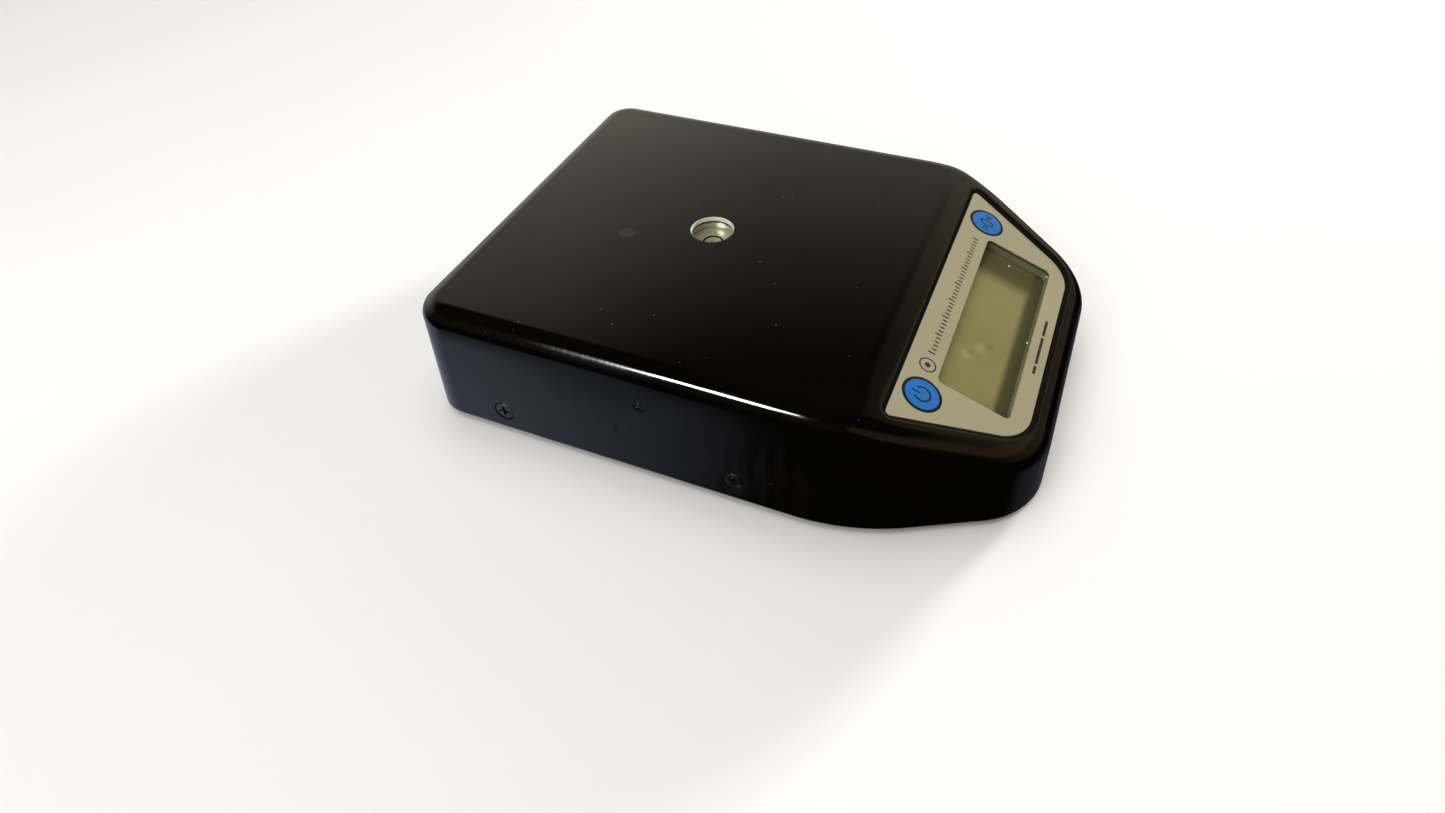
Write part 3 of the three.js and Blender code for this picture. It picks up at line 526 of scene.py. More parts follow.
def ink_finish(name, color, roughness=0.45, specular=0.5):
    """Flat print, or a matt near-black for painted shade in recesses if it is rough and hardly shines."""
    finish = Finish(name, color, roughness)
    finish.put("Specular IOR Level", specular)
    patchy = finish.noise(1800, 3)
    finish.put("Base Color", finish.mix(patchy, color, [c * 1.6 + 0.002 for c in color]))
    return finish.material


def key_finish():
    finish = Finish("key_blue_print", (0.0105, 0.123, 0.385), 0.38)
    clouds = finish.noise(180, 4)
    stipple = finish.noise(2600, 3)
    finish.put("Base Color", finish.mix(clouds, (0.0085, 0.109, 0.358), (0.0145, 0.142, 0.42)))
    finish.put("Roughness", finish.spread(stipple, 0.3, 0.7, 0.32, 0.45))
    finish.bump(stipple, 0.005)
    return finish.material


def on_glass(x, y, depth):
    """Where a point of the display panel lies in the part's frame."""
    return PANEL @ Vector((x, y, -depth))


def lcd_finish():
    """Unlit reflective display: olive, with soft pressure marks, and a painted shadow of the window's edge
    along its far and front edges.
    """
    finish = Finish("display_olive", (0.2, 0.182, 0.07), 0.25)
    clouds = finish.noise(28, 2, 0.5)
    fine = finish.noise(900, 3)
    tone = finish.mix(finish.rise(clouds, 0.3, 0.72), (0.176, 0.161, 0.062), (0.205, 0.189, 0.081))
    for x, y, reach, color in LCD_MARKS:
        soft = finish.near(on_glass(x, y, LCD_DEPTH), 0.4, reach)
        tone = finish.mix(finish.math("MULTIPLY", soft, 0.6), tone, color)
    # Painted shadow of the window's edge: darker bands along the far and front edges, lifted again close to
    # the far wall.
    far_painted_shadow = finish.along("X", 31, 38, 1.0, 0.55)
    far_painted_shadow = finish.math("MAXIMUM", far_painted_shadow, finish.along("X", 42, 52, 0.0, 1.0))
    front_painted_shadow = finish.along("Y", -112.8, -110.2, 0.38, 1.0)
    painted_window_shadow = finish.math("MINIMUM", far_painted_shadow, front_painted_shadow)
    finish.put("Base Color", finish.mix(painted_window_shadow, (0, 0, 0), tone))
    finish.put("Roughness", finish.spread(fine, 0.3, 0.7, 0.28, 0.3))
    return finish.material


def window_finish():
    """Clear film: only the dust on it shows."""
    finish = Finish("clear_window", (0.42, 0.40, 0.33), 0.08)
    dust = finish.math("MAXIMUM", finish.specks(75, 0.018, 0.10), finish.specks(260, 0.04, 0.02))
    for x, y in WINDOW_SPECKS:
        dust = finish.math("MAXIMUM", dust, finish.near(on_glass(x, y, LABEL_DEPTH), 0.25, 0.35))
    finish.put("Alpha", dust)
    finish.put("Base Color", finish.mix(dust, (0.2, 0.19, 0.15), (0.75, 0.72, 0.62)))
    return finish.material


def metal_finish(name, color, roughness, brushed=None, depth=0.01):
    """Bare or plated metal: brushed along one axis, milled or plain, with a slightly uneven tarnish."""
    finish = Finish(name, color, roughness, 1.0)
    lines = finish.noise(500, 5, 0.6, stretch=brushed)
    clouds = finish.noise(45, 4, 0.6)
    duller = [c * 0.5 for c in color]
    finish.put("Base Color", finish.mix(finish.rise(clouds, 0.3, 0.9), color, duller))
    finish.put("Roughness", finish.spread(lines, 0.25, 0.75, roughness * 0.7, roughness * 1.4))
    finish.bump(lines, depth)
    return finish.material


def turned_finish():
    """Turned aluminium gone dull: faint rings round the hub's axis under a khaki tarnish."""
    finish = Finish("turned_aluminium", (0.62, 0.60, 0.50), 0.42, 0.75)
    mapping = finish.node("ShaderNodeMapping")
    mapping.inputs["Location"].default_value = (0, -HUB_Y * MM, 0)
    finish.link(finish.place, mapping.inputs["Vector"])
    rings = finish.node("ShaderNodeTexWave", wave_type="RINGS", rings_direction="Z")
    finish.fill(rings, {"Scale": 500, "Distortion": 0.6})
    finish.link(mapping.outputs["Vector"], rings.inputs["Vector"])
    clouds = finish.noise(90, 4)
    finish.put("Base Color", finish.mix(clouds, (0.66, 0.64, 0.54), (0.46, 0.44, 0.33)))
    finish.put("Roughness", finish.spread(rings.outputs["Fac"], 0.0, 1.0, 0.36, 0.48))
    finish.bump(rings.outputs["Fac"], 0.006)
    return finish.material


def worn_black_finish():
    """Black oxide, rubbed through to bright steel on a few edges, with painted light: greyer towards the
    back, near black towards the front.
    """
    finish = Finish("worn_black_steel", (0.03, 0.03, 0.027), 0.42)
    wear = finish.rise(finish.noise(520, 5, 0.7), 0.54, 0.62)
    edges = finish.rise(finish.node("ShaderNodeNewGeometry").outputs["Pointiness"], 0.51, 0.58)
    bare = finish.math("MULTIPLY", wear, edges)
    # Painted light: the heads are greyer towards the back and near black towards the front, following the
    # side wall's reflection.
    painted_light_towards_back = finish.along("Y", -10, 80, 0.0, 1.0)
    black = finish.mix(painted_light_towards_back, (0.005, 0.0045, 0.004), (0.036, 0.037, 0.033))
    finish.put("Base Color", finish.mix(bare, black, (0.42, 0.38, 0.31)))
    finish.put("Metallic", finish.spread(bare, 0.0, 1.0, 0.2, 1.0))
    finish.put("Roughness", finish.spread(finish.noise(900, 3), 0.3, 0.7, 0.30, 0.44))
    finish.bump(finish.noise(700, 5), 0.02)
    return finish.material


def board_finish():
    """Solder mask with copper traces showing through it as slightly lighter lines."""
    finish = Finish("circuit_board_mask", (0.012, 0.09, 0.03), 0.3)
    brick = finish.node("ShaderNodeTexBrick")
    finish.fill(brick, {"Scale": 160, "Mortar Size": 0.04, "Mortar": (0.03, 0.17, 0.06, 1)})
    finish.fill(brick, {"Color1": (0.012, 0.085, 0.028, 1), "Color2": (0.010, 0.07, 0.024, 1)})
    finish.link(finish.place, brick.inputs["Vector"])
    finish.put("Base Color", brick.outputs["Color"])
    finish.put("Roughness", finish.spread(finish.noise(700), 0.3, 0.7, 0.22, 0.4))
    finish.bump(brick.outputs["Fac"], 0.03)
    return finish.material


# Dust on the cover, chips in its skin, soft marks on the display with their reach, dust on the window.
COVER_SPECKS = [
    (-69.9, 53.6, TOP_Z), (-76.8, 44.5, TOP_Z), (-65.4, 30.6, TOP_Z), (-89.8, 82.7, TOP_Z),
    (-15.7, 2, TOP_Z), (-53.3, -19.8, TOP_Z), (-86.2, -64.4, 60), (-93.2, -40.3, 60.5), (-100.6, -35.8, 19.5),
]
COVER_SCUFFS = [(-99.3, 22.3, 42.9), (-100.3, 33.2, 25.2)]
LCD_DEPTH = 6.5
LCD_PALE = (0.29, 0.262, 0.13)
LCD_DARK = (0.13, 0.12, 0.045)
LCD_MARKS = [
    (-22.3, -35.9, 3.4, LCD_PALE), (-14.5, -41.3, 3.6, LCD_PALE), (-19.5, -37.5, 2.2, LCD_DARK),
    (-10.9, -45.1, 2.6, LCD_DARK), (-14.1, -60, 1.5, LCD_DARK),
]
WINDOW_SPECKS = [(-3, -58.3), (40, -40.2), (46.8, -58.9)]

COVER = cover_finish()
BORE = bore_finish()
LABEL = label_finish()
INK = ink_finish("ink_grey", (0.02, 0.018, 0.016))
DARK_INK = ink_finish("ink_navy", (0.003, 0.004, 0.012))
KEY_BLUE = key_finish()
LCD = lcd_finish()
CLEAR = window_finish()
TURNED = turned_finish()
WORN_BLACK = worn_black_finish()
ZINC = metal_finish("zinc_plate", (0.60, 0.60, 0.58), 0.3, depth=0.008)
PAN_STEEL = metal_finish("zinc_sheet", (0.50, 0.505, 0.51), 0.34, brushed=(1.0, 0.06, 1.0), depth=0.006)
MILLED = metal_finish("milled_aluminium", (0.72, 0.72, 0.70), 0.32, brushed=(1.0, 0.05, 1.0))
RUBBER = moulded("foot_rubber_black", (0.018, 0.018, 0.018), 0.75, grain=700, depth=0.05)
DARK_PLASTIC = moulded("dark_plastic_moulded", (0.016, 0.016, 0.015), 0.48, grain=1100)
BEZEL = moulded("bezel_plastic_olive", (0.15, 0.135, 0.07), 0.8, depth=0.01)
# Matt near-black painted shade for the label recess wall, screw seats, cross recesses and the hub's mouth and
# bolt seat.
PAINTED_SHADE = ink_finish("painted_groove_shade", (0.0015, 0.0013, 0.0014), 0.85, specular=0.15)
CHIP = moulded("chip_epoxy", (0.014, 0.014, 0.015), 0.55, grain=1600, depth=0.01)
NYLON = moulded("connector_nylon", (0.66, 0.63, 0.53), 0.5, depth=0.01)
BATTERY_CASE = moulded("battery_jacket", (0.07, 0.075, 0.085), 0.32, depth=0.006)
GREY_JACKET = moulded("lead_jacket_grey", (0.11, 0.115, 0.12), 0.55)
RED_JACKET = moulded("lead_jacket_red", (0.33, 0.012, 0.012), 0.5)
BOARD = board_finish()

# ---- cover ----

FOOTPRINT = [
    (WIDTH / 2, LENGTH / 2, BACK_CORNER, 20),
    (-WIDTH / 2, LENGTH / 2, BACK_CORNER, 20),
    (-WIDTH / 2, TAPER_Y, TAPER_CORNER, 24),
    (-FRONT_HALF_WIDTH, -LENGTH / 2, FRONT_CORNER, 28),
    (FRONT_HALF_WIDTH, -LENGTH / 2, FRONT_CORNER, 28),
    (WIDTH / 2, TAPER_Y, TAPER_CORNER, 24),
]
LABEL_CORNERS = [
    (LABEL_TOP_HALF, LABEL_TOP, 2, 8),
    (-LABEL_TOP_HALF, LABEL_TOP, 2, 8),
    (-LABEL_BOTTOM_HALF, LABEL_BOTTOM, 19, 24),
    (LABEL_BOTTOM_HALF, LABEL_BOTTOM, 19, 24),
]


def crease_radius(x):
    """The crease is rounded a little, and more where it runs out to the sides."""
    t = max(0.0, min(1.0, (abs(x) - 66) / 30))
    return CREASE_RADIUS + (CREASE_RADIUS_AT_SIDES - CREASE_RADIUS) * t * t * (3 - 2 * t)


def surface_z(x, y, inset):
    """Height of the outer surface, or of the one inset below it: flat, rounded crease, slope."""
    radius = crease_radius(x) - inset
    crease = CREASE_Y - inset * math.tan(SLOPE / 2)
    reach = radius * math.tan(SLOPE / 2)
    flat = TOP_Z - inset
    back = crease + reach
    if y >= back:
        return flat
    if y <= crease - reach * math.cos(SLOPE):
        return flat - (crease - y) * math.tan(SLOPE)
    return flat - radius + math.sqrt(radius**2 - (back - y) ** 2)


def cover_rings(inset, bottom, arc_steps, wall_steps):
    """Rings up the leaning wall and over the rounded edge, at the outer surface or inset from it."""
    radius = EDGE_RADIUS - inset
    points = outline(FOOTPRINT, -inset)
    rings = []
    edge = []
    for k in range(arc_steps + 1):
        angle = k / arc_steps * PI / 2
        shrink = radius * (1 - math.cos(angle))
        drop = radius * (1 - math.sin(angle))
        ring = []
        for x, y, nx, ny in points:
            z = surface_z(x, y, inset) - drop
            for _ in range(4):  # lean and height depend on each other, and settle in a few rounds
                lean = shrink + DRAFT * (z - FOOT_HEIGHT)
                z = surface_z(x - nx * lean, y - ny * lean, inset) - drop
            ring.append((x - nx * lean, y - ny * lean, z))
        edge.append(ring)
    for k in range(wall_steps):
        t = k / wall_steps
        ring = []
        for (x, y, nx, ny), (_, _, high) in zip(points, edge[0]):
            z = bottom + (high - bottom) * t
            lean = DRAFT * (z - FOOT_HEIGHT)
            ring.append((x - nx * lean, y - ny * lean, z))
        rings.append(ring)
    return rings + edge


def cover_form(inset, bottom, arc_steps, wall_steps):
    """The cover's whole form as a solid, its top divided so that the crease can be rounded."""
    bm = loft(cover_rings(inset, bottom, arc_steps, wall_steps))
    bm.faces.ensure_lookup_table()
    region = [bm.faces[-1]]
    strips = [((0, CREASE_Y + 7.0 - k * 0.75, 0), (0, 1, 0)) for k in range(20)]
    columns = [((side * x, 0, 0), (1, 0, 0)) for side in (-1, 1) for x in (60, 66, 72, 77, 81, 85, 89)]
    for point, normal in strips + columns:
        geometry = set(region)
        for face in region:
            geometry.update(face.edges)
            geometry.update(face.verts)
        done = bmesh.ops.bisect_plane(bm, geom=list(geometry), plane_co=point, plane_no=normal)
        region = [g for g in done["geom"] if isinstance(g, bmesh.types.BMFace)]
    for vert in {v for face in region for v in face.verts}:
        vert.co.z = surface_z(vert.co.x, vert.co.y, inset)
    return bm


def label_recess():
    """Cutter for the label's recess: a steep wall that rounds over on to the rim.

    The profile holds the distance out from the label's outline, and the height.
    """
    profile = [
        (GAP, -RECESS_FLOOR),
        (GAP + 0.1, -0.95),
        (GAP + 0.45, -0.6),
        (GAP + 1.0, -0.3),
        (GAP + 1.7, -0.11),
        (GAP + 2.5, -0.02),
        (GAP + 3.4, 0.12),
        (GAP + 3.6, 0.8),
    ]
    rings = [[(x, y, z) for x, y, _, _ in outline(LABEL_CORNERS, grow)] for grow, z in profile]
    return moved(loft(rings), PANEL)


def on_side(bm, side, y):
    """Turns a piece drawn along +Z so that it points out of a side wall, at a cover screw."""
    turn = Matrix.Rotation(side * PI / 2, 4, "Y")
    return moved(bm, at(side * SCREW_X, y, SCREW_Z) @ turn)


def on_panel(bm, x=0.0, y=0.0, z=0.0):
    return moved(bm, PANEL @ at(x, y, z))


def make_cover():
    """A hollow moulding with a seat for the label, posts for the board and bosses for the screws.

    Pieces that are joined overlap a little, and cutters reach past what they cut.
    """
    outer = cover_form(0, FOOT_HEIGHT, 14, 6)
    inner = cover_form(WALL, FOOT_HEIGHT - 1, 8, 3)
    shell = cut(outer, inner)

    seat = on_panel(prism(outline(LABEL_CORNERS, 6), -SEAT_DEPTH, -WALL + 0.7))
    post = rod(POST_RADIUS, -BOARD_TOP + GAP, -SEAT_DEPTH + 0.5)
    posts = [on_panel(turned(post, 32), x, y) for x, y in BOARD_POSTS]
    boss = rod(BOSS_RADIUS, -BOSS_DEPTH, -1.2)
    bosses = [on_side(turned(boss, 48), side, y) for side, y in SCREW_PLACES]
    shell = join(shell, seat, *posts, *bosses)

    key_hole = [
        (0, -SEAT_DEPTH - 1), (SWITCH_HOLE_RADIUS, -SEAT_DEPTH - 1), (SWITCH_HOLE_RADIUS, KEY_HOLE_FLOOR),
        (KEY_HOLE_RADIUS, KEY_HOLE_FLOOR), (KEY_HOLE_RADIUS, 1), (0, 1),
    ]
    sink = [
        (0, -8), (SHANK_RADIUS + GAP, -8), (SHANK_RADIUS + GAP, -HEAD_HEIGHT - 0.4),
        (HEAD_RADIUS + GAP, -0.35), (HEAD_RADIUS + 0.35, -0.1), (HEAD_RADIUS + 0.6, 0.5), (0, 0.5),
    ]
    lip = HUB_HOLE_RADIUS + HUB_HOLE_LIP
    hub_hole = [
        (0, TOP_Z - 6), (HUB_HOLE_RADIUS, TOP_Z - 6), (HUB_HOLE_RADIUS, TOP_Z - 0.2), (lip, TOP_Z),
        (lip, TOP_Z + 2), (0, TOP_Z + 2),
    ]
    lens_hole = rectangle(LENS_WIDTH + 2 * GAP, LENS_HEIGHT + 2 * GAP, LENS_CORNER, WINDOW_Y)
    pilot = rod(PILOT_RADIUS, -BOARD_TOP, -6)
    jack_low, jack_high = cad_box("power_jack")
    notch_low = (jack_low.x - GAP, LENGTH / 2 - 8, 0)
    notch_high = (jack_high.x + GAP, LENGTH / 2 + 4, jack_high.z + 0.6)
    return cut(
        shell,
        label_recess(),
        on_panel(prism(lens_hole, -SEAT_DEPTH - 1, -0.5)),
        *[on_panel(turned(key_hole, 64), x, KEY_Y) for x in (-KEY_X, KEY_X)],
        *[on_panel(turned(pilot, 24), x, y) for x, y in BOARD_POSTS],
        *[on_side(turned(sink, 64), side, y) for side, y in SCREW_PLACES],
        moved(turned(hub_hole, 128), at(0, HUB_Y)),
        block(notch_low, notch_high),
    )


def part_the_finishes(bm):
    """The hub's hole shows the bare moulding. The label's recess wall and the screw seats get painted shade,
    the third material.
    """
    to_panel = PANEL.inverted()
    border = [Vector(point[:2]) for point in outline(LABEL_CORNERS, 2.1)]
    edges = list(zip(border, border[1:] + border[:1]))
    for face in bm.faces:
        middle = face.calc_center_median()
        drawn = to_panel @ middle
        in_hub_hole = math.hypot(middle.x, middle.y - HUB_Y) < HUB_HOLE_RADIUS + 0.12
        in_label = all((b - a).cross(drawn.xy - a) > 0 for a, b in edges)
        off_screw = min(math.hypot(middle.y - y, middle.z - SCREW_Z) for y in SCREW_YS)
        in_screw_seat = off_screw < HEAD_RADIUS + 0.65 and abs(middle.x) > SCREW_X - 5
        if in_hub_hole and middle.z < TOP_Z - 0.05:
            face.material_index = 1
        # Painted shade: the steep recess wall round the label and the screw seats are made matt near-black.
        elif in_label and -RECESS_FLOOR < drawn.z < -0.1:
            face.material_index = 2
        elif in_screw_seat and abs(face.normal.x) < 0.9:
            face.material_index = 2
    return bm


piece("cover_shell", part_the_finishes(make_cover()), "top_cover", COVER, angle=34, extra=(BORE, PAINTED_SHADE))

# ---- cover screws ----


def cross_recess(reach, depth):
    """Cutters for a cross recess: two bars that taper towards its floor."""
    half = reach * 0.28
    bars = []
    for turn in (0, PI / 2):
        rings = []
        for x, y, z in ((reach * 0.45, half * 0.6, -depth), (reach, half, 0.0), (reach, half, 1.0)):
            rings.append([(-x, -y, z), (x, -y, z), (x, y, z), (-x, y, z)])
        bars.append(moved(loft(rings), Matrix.Rotation(turn, 4, "Z")))
    return bars


def make_cover_screw():
    """A raised countersunk screw. Its cross recess gets painted shade, the second material."""
    blank = turned([
        (0, -12), (1.4, -12), (SHANK_RADIUS, -11.2), (SHANK_RADIUS, -HEAD_HEIGHT), (HEAD_RADIUS - 0.2, -0.5),
        (HEAD_RADIUS - 0.2, -0.25), (HEAD_RADIUS - 0.45, -0.02), (HEAD_RADIUS - 1.3, 0.12), (0, 0.2),
    ], 64)
    screw = cut(blank, *cross_recess(2.7, 1.9))
    # Painted shade: the walls of the cross recess are made matt near-black.
    for face in screw.faces:
        middle = face.calc_center_median()
        inside = math.hypot(middle.x, middle.y) < 2.8 and -2 < middle.z < 0.1
        face.material_index = 1 if inside and face.normal.z < 0.9 else 0
    return screw


for number, (side, y) in enumerate(SCREW_PLACES, 1):
    screw = moved(make_cover_screw(), Matrix.Rotation(0.5 + 1.1 * number, 4, "Z"))
    screw = on_side(moved(screw, at(z=-0.2)), side, y)
    node = f"cover_screw_{number}"
    piece(f"{node}_fine", screw, node, WORN_BLACK, bevel=0.08, extra=(PAINTED_SHADE,))

# ---- hub ----

HUB_BOTTOM = HUB_LOW.z
HUB_TOP = HUB_HIGH.z
FLANGE_RADIUS = 17
HUB_RADIUS = 13.4
CUP_RADIUS = 10.7
CUP_FLOOR = TOP_Z - 7.1
BOLT_SEAT = CUP_FLOOR - 2
BOLT_RADIUS = 2.5
BOLT_HEAD_RADIUS = 4.4
BOLT_HEAD_HEIGHT = 1.5


def make_hub():
    """A turned cup. The step at its mouth and the bolt's seat get painted shade, the second material."""
    bm = turned([
        (BOLT_RADIUS + GAP, HUB_BOTTOM), (FLANGE_RADIUS, HUB_BOTTOM), (FLANGE_RADIUS, HUB_BOTTOM + 3),
        (HUB_RADIUS, HUB_BOTTOM + 4), (HUB_RADIUS, HUB_TOP - 0.6), (13.1, HUB_TOP - 0.15), (12.8, HUB_TOP),
        (11.3, HUB_TOP), (11.1, HUB_TOP - 0.2), (11.1, TOP_Z - 3.45), (CUP_RADIUS, TOP_Z - 3.55),
        (CUP_RADIUS, TOP_Z - 5.7), (11.3, TOP_Z - 5.8), (11.3, TOP_Z - 6.35), (10.5, TOP_Z - 6.45),
        (10.2, TOP_Z - 6.6),
        (9.6, CUP_FLOOR + 0.24), (8.6, CUP_FLOOR + 0.08), (7.4, CUP_FLOOR),
        (BOLT_HEAD_RADIUS + 0.7, CUP_FLOOR), (BOLT_HEAD_RADIUS + 0.6, CUP_FLOOR - 0.1),
        (BOLT_HEAD_RADIUS + 0.6, BOLT_SEAT), (BOLT_RADIUS + GAP, BOLT_SEAT),
    ], 128)
    # Painted shade: the mouth's step, where the cover shadows it, and the gap round the bolt head are made
    # matt near-black.
    for face in bm.faces:
        middle = face.calc_center_median()
        mouth = middle.z > TOP_Z - 3.52
        seat = math.hypot(middle.x, middle.y) < BOLT_HEAD_RADIUS + 0.68 and middle.z < CUP_FLOOR - 0.04
        face.material_index = 1 if mouth or seat else 0
    return moved(bm, at(0, HUB_Y))


def make_hub_bolt():
    """A flat-topped bolt with a hexagon socket, as long as the CAD model's."""
    low, _ = cad_box("hub_bolt")
    under_head = BOLT_SEAT + GAP
    length = under_head - low.z
    blank = turned([
        (0, -length), (BOLT_RADIUS - 0.5, -length), (BOLT_RADIUS, -length + 0.6), (BOLT_RADIUS, 0),
        (BOLT_HEAD_RADIUS, 0), (BOLT_HEAD_RADIUS, BOLT_HEAD_HEIGHT - 0.35),
        (BOLT_HEAD_RADIUS - 0.12, BOLT_HEAD_HEIGHT - 0.1), (BOLT_HEAD_RADIUS - 0.4, BOLT_HEAD_HEIGHT),
        (0, BOLT_HEAD_HEIGHT),
    ], 64)
    socket = circle(BOLT_HEAD_RADIUS * 0.45, steps=6)
    bolt = cut(blank, prism(socket, BOLT_HEAD_HEIGHT * 0.35, BOLT_HEAD_HEIGHT + 1))
    return moved(bolt, at(0, HUB_Y, under_head))


piece("hub_cup", make_hub(), "platform_hub", TURNED, bevel=0.1, extra=(PAINTED_SHADE,))
piece("hub_bolt_fine", make_hub_bolt(), "hub_bolt", TURNED, bevel=0.1)

# ---- display panel ----


def make_label():
    """The film, with a window for the display and a round hole for each key."""
    top = -LABEL_DEPTH
    bottom = -LABEL_DEPTH - LABEL_THICKNESS
    film = prism(outline(LABEL_CORNERS), bottom, top)
    opening = rectangle(WINDOW_WIDTH, WINDOW_HEIGHT, WINDOW_CORNER, WINDOW_Y)
    window = prism(opening, bottom - 1, top + 1)
    keys = [prism(circle(KEY_RADIUS + 0.12, x, KEY_Y), bottom - 1, top + 1) for x in (-KEY_X, KEY_X)]
    return on_panel(cut(film, window, *keys))


def make_key(x):
    """A key's disc and stem. Its face is slightly domed, with a dark printed outline at the rim."""
    bm = turned([
        (0, KEY_DEPTH - 7.6), (2.5, KEY_DEPTH - 7.6), (2.5, -1), (KEY_RADIUS, -1), (KEY_RADIUS, -0.12),
        (KEY_RADIUS - 0.12, -0.03), (KEY_RADIUS - 1.2, 0.0), (KEY_RADIUS - 3, 0.06), (KEY_RADIUS - 6, 0.1),
        (0, 0.11),
    ], 96)
    for face in bm.faces:
        middle = face.calc_center_median()
        face.material_index = 1 if math.hypot(middle.x, middle.y) > KEY_RADIUS - 1.25 else 0
    return on_panel(bm, x, KEY_Y, -KEY_DEPTH)


INK_HEIGHT = 0.02
TICKS = 36
TICK_START = -38
TICK_END = 46
TICK_Y = -22.5
RING_X = -45.6
RING_Y = -21.2
LINE_Y = -64.4
LINE_DASHES = [(-19, -14), (-12.5, 5), (6.5, 17)]


def stroke(points, width):
    """A flat printed line along points."""
    rows = []
    for i, point in enumerate(points):
        before = Vector(points[max(i - 1, 0)])
        after = Vector(points[min(i + 1, len(points) - 1)])
        ahead = (after - before).normalized()
        side = Vector((-ahead.y, ahead.x)) * width / 2
        a = Vector(point) - side
        b = Vector(point) + side
        rows.append([(a.x, a.y, 0), (b.x, b.y, 0), (b.x, b.y, INK_HEIGHT), (a.x, a.y, INK_HEIGHT)])
    bm = loft(rows)
    bmesh.ops.recalc_face_normals(bm, faces=bm.faces[:])
    return bm


def arc(radius, start, end, x=0.0, y=0.0, squeeze=1.0):
    """Points along an arc, or along part of an upright ellipse if squeeze is below 1."""
    angles = [start + (end - start) * k / 40 for k in range(41)]
    return [(x + radius * math.cos(a) * squeeze, y + radius * math.sin(a)) for a in angles]


def make_power_mark():
    """A broken ring with an upright bar."""
    gap = 0.62
    ring = stroke(arc(3.5, PI / 2 + gap, PI / 2 + 2 * PI - gap), 0.7)
    bar = stroke([(0, 1.0), (0, 4.6)], 0.7)
    return on_panel(merged(ring, bar), -KEY_X, KEY_Y, -KEY_DEPTH + 0.1)


def make_zero_mark():
    """A nought between two arrowheads that point at it."""
    parts = [stroke(arc(3.0, 0, 2 * PI, squeeze=0.62), 0.7)]
    for side in (-1, 1):
        tip = (side * 3.2, 0)
        parts.append(stroke([(side * 5.4, 1.5), tip], 0.6))
        parts.append(stroke([tip, (side * 5.4, -1.5)], 0.6))
    return on_panel(merged(*parts), KEY_X, KEY_Y, -KEY_DEPTH + 0.1)


def make_label_marks():
    """Plain printed marks: a row of graduation ticks, a ring with a dot, and a broken line."""
    parts = []
    for k in range(TICKS):
        x = TICK_START + (TICK_END - TICK_START) * k / (TICKS - 1)
        height = 3.2 if k % 5 == 0 else 2.2
        parts.append(stroke([(x, TICK_Y), (x, TICK_Y + height)], 0.8))
    parts.append(stroke(arc(3.5, 0, 2 * PI, RING_X, RING_Y), 0.6))
    parts.append(prism(circle(1.3, RING_X, RING_Y, 32), 0, INK_HEIGHT))
    for start, end in LINE_DASHES:
        parts.append(stroke([(start, LINE_Y), (end, LINE_Y)], 1.3))
    return on_panel(merged(*parts), z=-LABEL_DEPTH)


def make_window():
    """The lens under the label, raised in the middle so that it fills the label's window."""
    wide = rectangle(LENS_WIDTH, LENS_HEIGHT, LENS_CORNER, WINDOW_Y)
    narrow = rectangle(WINDOW_WIDTH - 0.04, WINDOW_HEIGHT - 0.04, WINDOW_CORNER - 0.02, WINDOW_Y)
    rings = [
        (wide, -RECESS_FLOOR - LENS_THICKNESS),
        (wide, -RECESS_FLOOR),
        (narrow, -RECESS_FLOOR),
        (narrow, -LABEL_DEPTH - 0.05),
    ]
    return on_panel(loft([[(x, y, z) for x, y, _, _ in ring] for ring, z in rings]))


piece("label_film_sheet", make_label(), "panel_label", LABEL, bevel=0.08)
piece("display_lens", make_window(), "display_window", CLEAR)
piece("on_off_key_fine", make_key(-KEY_X), "on_off_key", KEY_BLUE, extra=(DARK_INK,))
piece("zero_key_fine", make_key(KEY_X), "zero_key", KEY_BLUE, extra=(DARK_INK,))
piece("on_off_mark", make_power_mark(), "on_off_key", DARK_INK, marks=True)
piece("zero_mark", make_zero_mark(), "zero_key", DARK_INK, marks=True)
piece("label_marks", make_label_marks(), "panel_label", INK, marks=True)
dress("lcd_glass", LCD)
dress("lcd_frame", BEZEL)

# ---- feet ----


def make_foot():
    """A rubber disc, hollow below, with a barbed stem that holds it in the pan."""
    top = FOOT_HEIGHT - GAP
    bead = FOOT_HEIGHT + 1.5 + GAP
    return turned([
        (0, 0.35), (3.2, 0.35), (3.8, 0.0), (6.3, 0), (6.75, 0.12), (7.0, 0.5), (7.5, 1.4),
        (7.9, top - 0.4), (7.7, top), (2.5, top), (2.5, bead), (3.7, bead), (3.6, bead + 0.5),
        (1.9, bead + 2.6), (0, bead + 2.6),
    ], 64)


for number in range(1, 5):
    node = f"foot_{number}"
    low, high = cad_box(node)
    foot = moved(make_foot(), at((low.x + high.x) / 2, (low.y + high.y) / 2))
    piece(f"{node}_fine", foot, node, RUBBER, bevel=0.15)

# ---- the rest keeps its CAD shape ----

REST = [
    (PAN_STEEL, ["base_pan", "load_arm"]),
    (MILLED, ["mounting_block", "load_cell", "arm_spacer"]),
    (DARK_PLASTIC, ["battery_box", "battery_door", "battery_snap", "power_jack"]),
    (DARK_PLASTIC, ["on_off_switch", "zero_switch"]),
    (CHIP, ["controller_chip", "converter_chip", "capacitor"]),
    (NYLON, ["cell_connector", "power_connector"]),
    (BATTERY_CASE, ["battery"]),
    (RUBBER, ["contact_strip_1", "contact_strip_2"]),
    (BOARD, ["main_board"]),
    (GREY_JACKET, ["cell_lead", "jack_lead"]),
    (RED_JACKET, ["battery_lead"]),
    (ZINC, ["overload_stop", "stop_nut", "cell_bolt_1", "cell_bolt_2", "arm_bolt_1", "arm_bolt_2"]),
    (ZINC, [f"board_screw_{number}" for number in range(1, 5)]),
]

